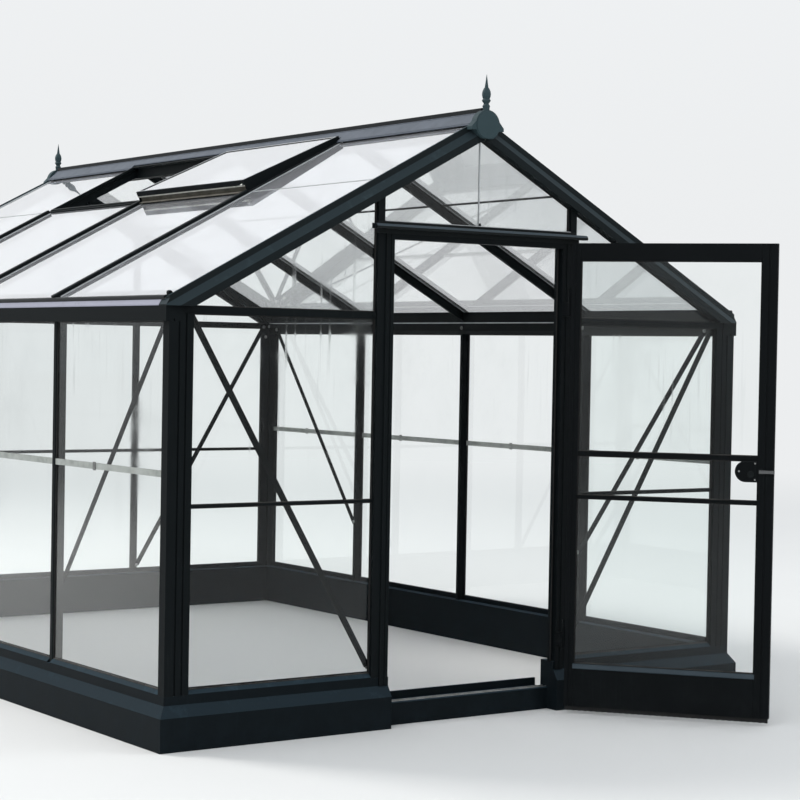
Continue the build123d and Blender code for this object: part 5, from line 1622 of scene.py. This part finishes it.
@dataclass
class Fixings:
    """Bolts, gussets and clips that hold the frame together."""

    bolt: Pair = (0.0085, 0.0055)
    washer: Pair = (0.011, 0.0015)
    brace: float = 0.004
    brace_top: Pair = (0.003, 0.009)
    brace_foot: Pair = (-0.004, 0.046)
    plate: float = 0.003
    plate_corner: Pair = (0.060, 0.027)
    plate_bolts: tuple[Pair, Pair] = ((0.045, 0.014), (0.018, -0.055))
    eave_depth: float = 0.066
    side_brace_top: Pair = (0.132, 0.024)
    side_brace_foot: float = 0.582
    eave_bolt_drop: float = 0.026
    clip_at: Point = (0.012, 0.0045, 0.015)
    clip_lift: float = 0.0015
    rivet_lift: float = -0.003
    layout: Layout = LAYOUT

    def bolts(self, shell: Shell, places: Sequence[Point], axis: Point) -> None:
        """Adds washers and six-sided chamfered heads at several places.

        Args:
            shell: The shell that they go in.
            places: Where their undersides lie.
            axis: The direction that they point in.
        """
        (wide, low), (head, rise) = self.washer, self.bolt
        washer = np.array(((wide, 0.0), (wide, low * 0.7), (wide * 0.93, low)))
        bolt = np.array(((head, low), (head, low + rise * 0.75), (head * 0.82, low + rise)))
        shell.turned(washer, places, axis, 16)
        shell.turned(bolt, places, axis, 6)

    def gable_bolts(self) -> Shell:
        """Bolts at the ends of the gables' braces and in the gussets.

        Returns:
            The shell.
        """
        lay = self.layout
        shell = Shell("gable_bolts")
        for face, inwards in lay.gables:
            brace = face + inwards * (lay.gable_depth + self.brace)
            plate = face + inwards * (lay.gable_depth + self.plate)
            for sign in (-1, 1):
                top = (sign * (lay.post_inner + self.brace_top[0]), brace,
                       lay.rail_bottom + self.brace_top[1])
                foot = (sign * (lay.jamb_outer + self.brace_foot[0]), brace,
                        lay.plinth_top + self.brace_foot[1])
                self.bolts(shell, (top, foot), (0, inwards, 0))
                self.bolts(shell, [(sign * (lay.post_inner + x), plate, lay.rail_bottom + z)
                                   for x, z in self.plate_bolts], (0, inwards, 0))
        return shell

    def gussets(self) -> Shell:
        """Flat L plates behind the joints of posts and gable rails.

        Returns:
            The shell.
        """
        lay = self.layout
        shell = Shell("corner_gussets")
        outline = millimetres((0, 0), (85, 0), (85, -26), (42, -26), (26, -42), (26, -85), (0, -85))
        for face, inwards in lay.gables:
            for sign in (-1, 1):
                flat = np.array((sign * (lay.post_inner + self.plate_corner[0]),
                                 face + inwards * lay.gable_depth,
                                 lay.rail_bottom + self.plate_corner[1]))
                shell.sweep(outline, flat, flat + (0.0, inwards * self.plate, 0.0), (-sign, 0, 0),
                            (0, 0, 1))
        return shell

    def side_bolts(self) -> Shell:
        """Bolts at the ends of the side walls' braces and along the eaves' inner faces.

        Returns:
            The shell.
        """
        lay = self.layout
        shell = Shell("side_bolts")
        inner = lay.half_width - self.eave_depth
        for side in Side:
            x = side.value * (inner - self.brace)
            for (face, inwards), line in zip(lay.gables, (lay.bar_lines[0], lay.bar_lines[-1])):
                top = (x, face + inwards * self.side_brace_top[0],
                       lay.eave_bottom + self.side_brace_top[1])
                self.bolts(shell, (top, (x, line, self.side_brace_foot)), (-side.value, 0, 0))
            rows = [(side.value * inner, y, lay.eave_seam - self.eave_bolt_drop)
                    for y in lay.bar_lines]
            self.bolts(shell, rows, (-side.value, 0, 0))
        return shell

    def rail_clips(self) -> Shell:
        """Small square clips with a rivet, where the front rail meets the jambs.

        Returns:
            The shell.
        """
        lay = self.layout
        shell = Shell("rail_end_clips")
        clip = millimetres((12, 0), (12, 3.5), (9, 5.5))
        rivet = millimetres((4.5, 0), (4.2, 2), (2.8, 3.5))
        x, y, z = self.clip_at
        for sign in (-1, 1):
            at = np.array((sign * (lay.jamb_outer + x), lay.front + y, lay.rail_bottom + z))
            shell.turned(clip, at + (0.0, self.clip_lift, 0.0), (0, -1, 0), 4)
            shell.turned(rivet, at + (0.0, self.rivet_lift, 0.0), (0, -1, 0), 12)
        return shell

    def build(self, finishes: Finishes) -> None:
        """Builds the fixings.

        Args:
            finishes: The object's finishes.
        """
        self.gussets().build(finishes.frame)
        self.gable_bolts().build(finishes.zinc, Slot.STEEL)
        self.side_bolts().build(finishes.zinc, Slot.STEEL)
        self.rail_clips().build(finishes.frame)


@dataclass
class GableTrim:
    """The upright silicone joint over the door with its stud, and the drip cap's dressings, one of
    them a pale sheet of painted sky light.
    """

    joint: Pair = (0.007, 0.0022)
    joint_end_gap: float = 0.002
    stud_at: float = 0.010
    cap_foot: float = 2.138
    cap_reach: float = 0.0315
    plate_at: float = 0.0318
    plate: float = 0.0025
    rivet_lift: float = 0.002
    rivets_at: tuple[Pair, Pair] = ((-0.010, 2.148), (-0.030, 2.146))
    sealant: Pair = (0.005, 0.0028)
    sealant_at: float = 0.0035
    layout: Layout = LAYOUT

    def joint_lines(self) -> Shell:
        """A raised line of silicone on both faces of the glass, in front and at the rear.

        Returns:
            The shell.
        """
        lay = self.layout
        shell = Shell("upper_gable_silicone")
        top = lay.rafter_underside(0.0) - self.joint_end_gap
        for gable, foot in zip(lay.gables, (lay.drip_cap_top, lay.eave_seam)):
            for y, sign in lay.pane_faces(*gable):
                shell.sweep(half_round(*self.joint, 7), (0.0, y, foot + self.joint_end_gap),
                            (0.0, y, top), (1, 0, 0), (0, sign, 0))
        return shell

    def stud(self) -> Shell:
        """A small stud at the joint's foot, turned from a profile.

        Returns:
            The shell.
        """
        lay = self.layout
        shell = Shell("upper_gable_stud")
        profile = millimetres((6.8, 0), (6.8, 5), (4.8, 8), (4.8, 13), (2, 16))
        shell.turned(profile, (0.0, lay.front + self.stud_at, lay.drip_cap_top), (0, 0, 1), 12)
        return shell

    def cap_ends(self) -> Shell:
        """Riveted plates that close the drip cap's two ends, shaped like its section.

        Returns:
            The shell.
        """
        lay = self.layout
        shell = Shell("drip_cap_end_plates")
        outline = millimetres((-41, -0.5), (-41, 10.5), (-31, 19.8), (-1, 22.8), (-1, -0.5))
        rivet = millimetres((3.5, 0), (3.3, 1.5), (2, 2.8))
        for sign in (-1, 1):
            at = np.array((sign * (lay.jamb_outer + self.plate_at), lay.front, self.cap_foot))
            shell.sweep(outline, at, at + (sign * self.plate, 0.0, 0.0), (0, 1, 0), (0, 0, 1))
            shell.turned(rivet, [(at[0] + sign * self.rivet_lift, lay.front + y, z)
                                 for y, z in self.rivets_at], (sign, 0, 0), 10)
        return shell

    def cap_sky_light_sheet(self) -> Shell:
        """A thin pale sheet on the drip cap's bevel and shelf: painted sky light.

        Returns:
            The shell.
        """
        lay = self.layout
        shell = Shell("drip_cap_sky_light_sheet")
        outline = millimetres((-41, 9.4), (-31.5, 19.9), (-1, 22.9), (-1, 22.1), (-31, 19.1),
                              (-40.1, 9.8))
        reach = lay.jamb_outer + self.cap_reach
        shell.sweep(outline, (-reach, lay.front, self.cap_foot), (reach, lay.front, self.cap_foot),
                    (0, 1, 0), (0, 0, 1))
        return shell

    def sill_line(self) -> Shell:
        """A pale sealant line along the foot of the panes over the door.

        Returns:
            The shell.
        """
        lay = self.layout
        shell = Shell("drip_cap_sealant")
        y = lay.front + self.sealant_at
        shell.sweep(half_round(*self.sealant, 7), (-lay.stud_inner, y, lay.drip_cap_top),
                    (lay.stud_inner, y, lay.drip_cap_top), (0, 1, 0), (0, 0, 1))
        return shell

    def build(self, finishes: Finishes) -> None:
        """Builds the gable's trim.

        Args:
            finishes: The object's finishes.
        """
        # The drip cap's pale sheet is painted sky light.
        self.cap_sky_light_sheet().build(finishes.ledge)
        self.sill_line().build(finishes.silicone)
        self.joint_lines().build(finishes.silicone, Slot.GLASS)
        self.stud().build(finishes.frame)
        self.cap_ends().build(finishes.frame)


@dataclass
class EaveSeams:
    """Along the eaves' inner faces, where their parts meet: a pale line of painted highlight on the
    seam, and a lower band.
    """

    inner: float = 0.066
    end_gap: float = 0.036
    seam: Pair = (0.0045, 0.0012)
    band: Pair = (1.7235, 1.7410)
    band_thickness: float = 0.0010
    layout: Layout = LAYOUT

    def strips(self, name: str, low: float, high: float, thickness: float) -> Shell:
        """Thin strips between two heights along both eaves' inner faces.

        Args:
            name: The shell's name.
            low: Height of the lower edge.
            high: Height of the upper edge.
            thickness: How far they stand out.

        Returns:
            The shell.
        """
        lay = self.layout
        shell = Shell(name)
        middle = (low + high) / 2
        for side in Side:
            x = side.value * (lay.half_width - self.inner)
            shell.sweep(bevelled_strip(high - low, thickness, thickness / 2),
                        (x, lay.front + self.end_gap, middle), (x, lay.rear - self.end_gap, middle),
                        (0, 0, 1), (-side.value, 0, 0))
        return shell

    def build(self, finishes: Finishes) -> None:
        """Builds the seam's painted highlight line and the lower band.

        Args:
            finishes: The object's finishes.
        """
        low, (height, thickness) = self.layout.eave_seam, self.seam
        # The pale seam line is a painted highlight.
        self.strips("eave_seam_highlights", low, low + height, thickness).build(finishes.painted_highlight)
        self.strips("eave_lower_bands", *self.band, self.band_thickness).build(finishes.cap)


@dataclass
class WallJointClips:
    """Small clips that hold the long walls' joint strips to the panes."""

    width: float = 0.022
    height: float = 0.004
    bevel: float = 0.0012
    lift: float = 0.0047
    half_length: float = 0.018
    share: float = 0.62
    layout: Layout = LAYOUT

    def clips(self) -> Shell:
        """One bevelled clip on each strip, outside.

        Returns:
            The shell.
        """
        lay = self.layout
        shell = Shell("joint_strip_clips")
        profile = bevelled_strip(self.width, self.height, self.bevel)
        low, high = lay.side_joint - self.half_length, lay.side_joint + self.half_length
        for side in Side:
            x = side.value * (lay.half_width - lay.glass_setback + self.lift)
            for start, end in lay.wall_bays():
                y = start + self.share * (end - start)
                shell.sweep(profile, (x, y, low), (x, y, high), (0, 1, 0), (side.value, 0, 0))
        return shell

    def build(self, finishes: Finishes) -> None:
        """Builds the clips."""
        self.clips().build(finishes.zinc, Slot.BARE_ALUMINIUM)


@dataclass
class LeafTrim:
    """What is on the door leaf: pane beads, lock furniture, screws, a brush, seams and ledges."""

    bead: Pair = (0.0045, 0.004)
    cylinder_at: Pair = (0.030, -0.012)
    rose_at: float = -0.014
    rim_inset: float = 0.004
    rim: Pair = (0.004, 0.0022)
    strap: float = 0.003
    strap_at: float = -0.024
    case_screws: tuple[Pair, ...] = ((0.012, -0.036), (0.012, 0.036), (0.082, 0.0))
    brush_samples: int = 241
    brush_end_gap: float = 0.004
    brush_half: float = 0.0025
    brush_at: Pair = (-0.008, 0.001)
    brush_hang: float = 0.020
    brush_waves: tuple[Pair, Pair] = ((0.0012, 700.0), (0.0009, 233.0))
    seam: Pair = (0.003, 0.0010)
    seam_end_gap: float = 0.001
    ledge_drop: float = 0.0235
    ledge_reach: float = 0.004
    leaf: LeafPlace = LEAF

    def beads(self) -> Shell:
        """Rubber beads round the three panes, on both faces.

        Returns:
            The shell.
        """
        leaf = self.leaf
        shell = Shell("door_pane_beads")
        w, h = self.bead
        profile = np.array(((-0.001, -0.0003), (w, -0.0003), (0.8 * w, 0.6 * h), (0.3 * w, h),
                            (-0.001, h)))
        spans = (
            (leaf.bottom + leaf.bottom_rail, leaf.lower_bar - leaf.lower_bar_half),
            (leaf.lower_bar + leaf.lower_bar_half, leaf.upper_bar - leaf.upper_bar_half),
            (leaf.upper_bar + leaf.upper_bar_half, leaf.top - leaf.top_rail),
        )
        for sign in (-1, 1):
            y = (leaf.face_back + leaf.face_front + sign * LAYOUT.glass_thickness) / 2
            for low, high in spans:
                outline = rectangle(leaf.glass_left, leaf.glass_right, low, high)
                shell.frame_round(np.insert(outline, 1, y, axis=1), (0, sign, 0), profile)
        return shell

    def lock_cylinder(self) -> Shell:
        """A round key cylinder with its slot plate on both faces of the lock case.

        Returns:
            The shell.
        """
        leaf = self.leaf
        shell = Shell("door_lock_cylinder")
        ring = millimetres((16, -1), (16, 2.5), (14.5, 4), (10.5, 4), (10, 3), (3.5, 3), (3, 1.8))
        x, z = leaf.glass_left + self.cylinder_at[0], leaf.lock_height + self.cylinder_at[1]
        for y, sign in leaf.case_faces:
            shell.turned(ring, (x, y, z), (0, sign, 0), 24)
        return shell

    def lever_rose(self) -> Shell:
        """A round rose where the lever leaves the lock stile.

        Returns:
            The shell.
        """
        leaf = self.leaf
        shell = Shell("door_lever_rose")
        ring = millimetres((14, -0.5), (14, 3), (12.5, 4.5), (8, 4.8))
        place = (leaf.glass_left + self.rose_at, leaf.face_back, leaf.lock_height)
        shell.turned(ring, place, (0, 1, 0), 24)
        return shell

    def case_rim(self) -> Shell:
        """A raised rim round the lock case's curved edge, carried along its outline.

        Returns:
            The shell.
        """
        leaf = self.leaf
        shell = Shell("door_lock_rim")
        radius = leaf.lock_radius - self.rim_inset
        middle = leaf.glass_left + leaf.lock_reach - leaf.lock_radius
        arc = arc_points(radius, -90.0, 90.0, 17) + (middle, leaf.lock_height)
        start = leaf.glass_left + self.rim_inset
        outline = np.vstack(((start, leaf.lock_height - radius), arc,
                             (start, leaf.lock_height + radius)))
        for y, sign in leaf.case_faces:
            shell.follow(half_round(*self.rim, 5), np.insert(outline, 1, y, axis=1), (0, sign, 0))
        return shell

    def screws(self) -> Shell:
        """Countersunk screw heads on the hinge straps and the lock case.

        Returns:
            The shell.
        """
        leaf = self.leaf
        shell = Shell("door_screws")
        x, y = leaf.hinge_edge + self.strap_at, leaf.face_front - self.strap
        shell.turned(SCREW_HEAD, [(x, y, z) for z in leaf.screw_heights(1)], (0, -1, 0), 12)
        case = leaf.case_faces[0][0]
        shell.turned(SCREW_HEAD, [(leaf.glass_left + dx, case, leaf.lock_height + dz)
                                  for dx, dz in self.case_screws], (0, 1, 0), 12)
        return shell

    def brush(self) -> Shell:
        """A brush strip under the bottom rail: its lower edge hangs by the sum of two sines.

        Returns:
            The shell.
        """
        leaf = self.leaf
        shell = Shell("door_bottom_brush")
        x = np.linspace(leaf.lock_edge + self.brush_end_gap, leaf.hinge_edge - self.brush_end_gap,
                        self.brush_samples)
        hang = self.brush_hang + sum(size * np.sin(x * turns) for size, turns in self.brush_waves)
        y, z = leaf.face_back + self.brush_at[0], leaf.bottom + self.brush_at[1]
        ring = [np.stack((x, np.full_like(x, y + depth), z - share * hang), axis=-1)
                for depth, share in ((-self.brush_half, 0), (-self.brush_half, 1),
                                     (self.brush_half, 1), (self.brush_half, 0))]
        shell.grid(np.stack(ring, axis=1), round_columns=True, capped=True)
        return shell

    def corner_seams(self) -> Shell:
        """Seams of the leaf's corners: thin cover strips where the rails meet the stiles.

        Returns:
            The shell.
        """
        leaf = self.leaf
        shell = Shell("door_corner_seams")
        rails = ((leaf.bottom, leaf.bottom + leaf.bottom_rail),
                 (leaf.top - leaf.top_rail, leaf.top))
        for x in (leaf.glass_left, leaf.glass_right):
            for low, high in rails:
                for y, sign in leaf.faces:
                    shell.sweep(half_round(*self.seam, 5), (x, y, low + self.seam_end_gap),
                                (x, y, high - self.seam_end_gap), (1, 0, 0), (0, sign, 0))
        return shell

    def ledges(self) -> Shell:
        """Bevelled weather ledges on the bottom rail's upper edge, on both faces, in a paler bluish
        coat that paints sky light on them.

        Returns:
            The shell.
        """
        leaf = self.leaf
        shell = Shell("door_rail_ledges")
        outline = millimetres((0, 0), (1.5, 0), (4.5, 3), (0.8, 22.5), (0, 22.5))
        z = leaf.bottom + leaf.bottom_rail - self.ledge_drop
        left, right = leaf.glass_left - self.ledge_reach, leaf.glass_right + self.ledge_reach
        for y, sign in leaf.faces:
            shell.sweep(outline, (left, y, z), (right, y, z), (0, sign, 0), (0, 0, 1))
        return shell

    def build(self, finishes: Finishes) -> None:
        """Swings the shells, which are drawn on the closed leaf, to where it stands, and builds
        them.

        Args:
            finishes: The object's finishes.
        """
        for shell, finish, slot in (
            (self.beads(), finishes.rubber, Slot.DOOR_FRAME),
            (self.lock_cylinder(), finishes.cap, Slot.CASTINGS),
            (self.lever_rose(), finishes.cap, Slot.CASTINGS),
            (self.case_rim(), finishes.cap, Slot.CASTINGS),
            (self.screws(), finishes.zinc, Slot.STEEL),
            (self.brush(), finishes.rubber, Slot.DOOR_FRAME),
            (self.corner_seams(), finishes.door, Slot.DOOR_FRAME),
            # The ledges' paler coat is painted sky light.
            (self.ledges(), finishes.ledge, Slot.DOOR_FRAME),
        ):
            shell.move(self.leaf.swing)
            shell.build(finish, slot, Rides.DOOR)


@dataclass
class DoorwayTrim:
    """What stays on the door's surround: hinge screws, stop seals and the threshold's strips."""

    screws_at: Pair = (0.021, -0.011)
    seal: Pair = (0.007, 0.005)
    seal_at: Pair = (-0.011, 0.020)
    seal_foot: float = 0.002
    seal_top: float = 2.094
    strip: Pair = (0.0085, 0.0032)
    strip_reach: float = 0.456
    strip_lines: Pair = (0.049, 0.073)
    strip_height: float = 0.1012
    layout: Layout = LAYOUT

    def hinge_screws(self) -> Shell:
        """Screw heads on the hinge plates of the jamb.

        Returns:
            The shell.
        """
        lay = self.layout
        shell = Shell("jamb_hinge_screws")
        x, y = lay.jamb_inner + self.screws_at[0], lay.front + self.screws_at[1]
        shell.turned(SCREW_HEAD, [(x, y, z) for z in LEAF.screw_heights(0)], (0, -1, 0), 12)
        return shell

    def stop_seals(self) -> Shell:
        """A soft seal on each jamb's stop lip.

        Returns:
            The shell.
        """
        lay = self.layout
        shell = Shell("doorway_stop_seals")
        y = lay.front + self.seal_at[1]
        for sign in (-1, 1):
            x = sign * (lay.jamb_inner + self.seal_at[0])
            shell.sweep(half_round(*self.seal, 7), (x, y, lay.plinth_top + self.seal_foot),
                        (x, y, self.seal_top), (1, 0, 0), (0, -1, 0))
        return shell

    def threshold_strips(self) -> Shell:
        """Two worn bright strips along the threshold's ribs.

        Returns:
            The shell.
        """
        shell = Shell("threshold_tread_strip")
        reach, z = self.strip_reach, self.strip_height
        for line in self.strip_lines:
            y = self.layout.front + line
            shell.sweep(half_round(*self.strip, 7), (-reach, y, z), (reach, y, z), (0, 1, 0),
                        (0, 0, 1))
        return shell

    def build(self, finishes: Finishes) -> None:
        """Builds the doorway's trim.

        Args:
            finishes: The object's finishes.
        """
        self.hinge_screws().build(finishes.zinc, Slot.STEEL)
        self.stop_seals().build(finishes.rubber)
        self.threshold_strips().build(finishes.zinc, Slot.BASE)


def looking(right: np.ndarray, up: np.ndarray, ahead: np.ndarray, place: Vector) -> Matrix:
    """The matrix of a camera or lamp, whose own axes point right, up and backwards."""
    axes = np.stack((right, up, -ahead, place), axis=1)
    return Matrix(np.vstack((axes, (0.0, 0.0, 0.0, 1.0))).tolist())


@dataclass(frozen=True)
class CameraPlace:
    """Where the photograph was taken from, solved from the frame's straight lines."""

    location: Point = (-5.5514, -7.3470, 1.6108)
    yaw: float = 35.2577
    pitch: float = -1.3003
    roll: float = 1.0116
    lens: float = 93.21
    sensor: float = 36.0
    sight: float = 500.0

    def build(self) -> None:
        """Makes the camera: its axes are the view direction's right and up, rolled about it."""
        yaw, pitch, roll = (math.radians(value) for value in (self.yaw, self.pitch, self.roll))
        level = math.cos(pitch)
        ahead = np.array((math.sin(yaw) * level, math.cos(yaw) * level, math.sin(pitch)))
        flat = np.array((math.cos(yaw), -math.sin(yaw), 0.0))
        tall = np.cross(flat, ahead)
        right = math.cos(roll) * flat + math.sin(roll) * tall
        up = math.cos(roll) * tall - math.sin(roll) * flat
        data = bpy.data.cameras.new("camera")
        data.lens = self.lens
        data.sensor_width = self.sensor
        data.clip_end = self.sight
        camera = bpy.data.objects.new("camera", data)
        camera.matrix_world = looking(right, up, ahead, self.location)
        bpy.context.scene.collection.objects.link(camera)
        bpy.context.scene.camera = camera


@dataclass(frozen=True)
class Lamp:
    """A square area lamp that looks at the building's middle."""

    name: str
    location: Point
    size: float
    power: float
    colour: Point
    target: Point = (0.0, 2.0, 1.0)

    def build(self) -> None:
        """Makes the lamp."""
        data = bpy.data.lights.new(self.name, "AREA")
        data.size = self.size
        data.energy = self.power
        data.color = self.colour
        ahead = unit(np.subtract(self.target, self.location))
        right = unit(np.cross(ahead, (0.0, 0.0, 1.0)))
        lamp = bpy.data.objects.new(self.name, data)
        lamp.matrix_world = looking(right, np.cross(right, ahead), ahead, self.location)
        bpy.context.scene.collection.objects.link(lamp)


@dataclass(frozen=True)
class Studio:
    """A pale floor, a pale sky and soft lamps."""

    floor_colour: Colour = (0.72, 0.72, 0.71, 1.0)
    floor_patches: float = 1.03
    horizon: Colour = (0.84, 0.855, 0.865, 1.0)
    zenith: Colour = (0.90, 0.92, 0.94, 1.0)
    low_light: Colour = (0.20, 0.23, 0.25, 1.0)
    high_light: Colour = (0.92, 0.96, 1.0, 1.0)
    sky_light: float = 0.92
    floor_radius: float = 120.0
    floor_rings: int = 24
    floor_spokes: int = 72
    floor_middle: Point = (0.0, 2.0, -0.0005)
    fade: Pair = (7.0, 22.0)
    mirrored_glow: float = -0.84
    lamps: tuple[Lamp, ...] = (
        Lamp("key", (-6.5, 9.0, 12.0), 4.0, 1200.0, (1.0, 0.98, 0.95)),
        Lamp("fill", (9.0, -6.0, 9.0), 6.0, 260.0, (0.95, 0.98, 1.0)),
        Lamp("side", (-9.0, -6.0, 10.0), 6.0, 320.0, (0.96, 0.98, 1.0)),
    )

    def sky(self) -> None:
        """A sky that is paler upwards, seen as it is and softer as light on the object."""
        world = bpy.data.worlds.new("studio")
        bpy.context.scene.world = world
        world.use_nodes = True
        world.node_tree.nodes.clear()
        nodes = Nodes(world.node_tree)
        height = nodes.height(nodes.add("TexCoord").outputs["Generated"])
        colour = nodes.blend(nodes.stretch(height, 0.0, 0.45), self.horizon, self.zenith)
        lit = nodes.blend(nodes.stretch(height, 0.0, 0.4), self.low_light, self.high_light)
        rays = nodes.add("LightPath").outputs
        straight = nodes.maths("MAXIMUM", rays["Is Camera Ray"], rays["Is Transmission Ray"])
        above = nodes.stretch(height, -0.01, 0.07)
        mirrored = nodes.maths("MULTIPLY", rays["Is Glossy Ray"], above)
        seen = nodes.maths("MAXIMUM", straight, mirrored)
        shown = nodes.add("Background", {"Color": colour, "Strength": 1.0})
        light = nodes.add("Background", {"Color": lit, "Strength": self.sky_light})
        mixed = nodes.add("MixShader", {0: seen, 1: light.outputs[0], 2: shown.outputs[0]})
        nodes.add("OutputWorld", {"Surface": mixed.outputs[0]})

    def floor(self) -> None:
        """A round floor: rings of growing radius about its middle, far past the horizon's fade."""
        radii = np.concatenate(([0.0], np.geomspace(1.0, self.floor_radius, self.floor_rings)))
        angles = np.linspace(0, 2 * math.pi, self.floor_spokes, endpoint=False)
        spokes = np.stack((np.cos(angles), np.sin(angles), np.zeros_like(angles)), axis=-1)
        shell = Shell("floor")
        shell.grid(radii[:, None, None] * spokes + self.floor_middle, round_columns=True)
        shell.make(self.floor_finish())

    def floor_finish(self) -> Material:
        """Matt and pale near the object, the horizon's own colour far from it.

        Returns:
            The material.
        """
        paint = Painter("studio floor")
        cloudy = paint.noise(paint.place, scale=0.8, detail=4.0, rough=0.55)
        paler = (*(value * self.floor_patches for value in self.floor_colour[:3]), 1.0)
        paint.feed(Base_Color=paint.blend(cloudy, self.floor_colour, paler), Roughness=0.9,
                   Specular_IOR_Level=0.1)
        distance = paint.add("VectorMath", {0: paint.place}, operation="LENGTH").outputs["Value"]
        rays = paint.add("LightPath").outputs
        straight = paint.maths("SUBTRACT", 1.0, rays["Is Transmission Ray"])
        mirrored = paint.maths("MULTIPLY", rays["Is Glossy Ray"], straight)
        glow = paint.add("Emission", {"Color": self.horizon,
                                      "Strength": paint.line(mirrored, self.mirrored_glow, 1.0)})
        mixed = paint.add("MixShader", {0: paint.stretch(distance, *self.fade),
                                        1: paint.shader.outputs[0], 2: glow.outputs[0]})
        paint.put(paint.tree.nodes["Material Output"].inputs["Surface"], mixed.outputs[0])
        return paint.material

    def build(self) -> None:
        """Makes the sky, the floor and the lamps."""
        self.sky()
        self.floor()
        for lamp in self.lamps:
            lamp.build()
        bpy.context.scene.view_settings.view_transform = "Standard"


def main() -> None:
    """Builds and dresses the greenhouse, then the camera and the studio."""
    logging.basicConfig(level=logging.INFO, format="%(name)s: %(message)s")
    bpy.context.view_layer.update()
    finishes = Finishes()
    finishes.dress(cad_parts)
    for part in (GlazingBeads(), RoofTrim(), RidgeTrim(), VentTrim(), Fixings(), GableTrim(),
                 EaveSeams(), WallJointClips(), LeafTrim(), DoorwayTrim()):
        LOG.info("building %s", type(part).__name__)
        part.build(finishes)
    CameraPlace().build()
    Studio().build()


if __name__ == "__main__":
    main()
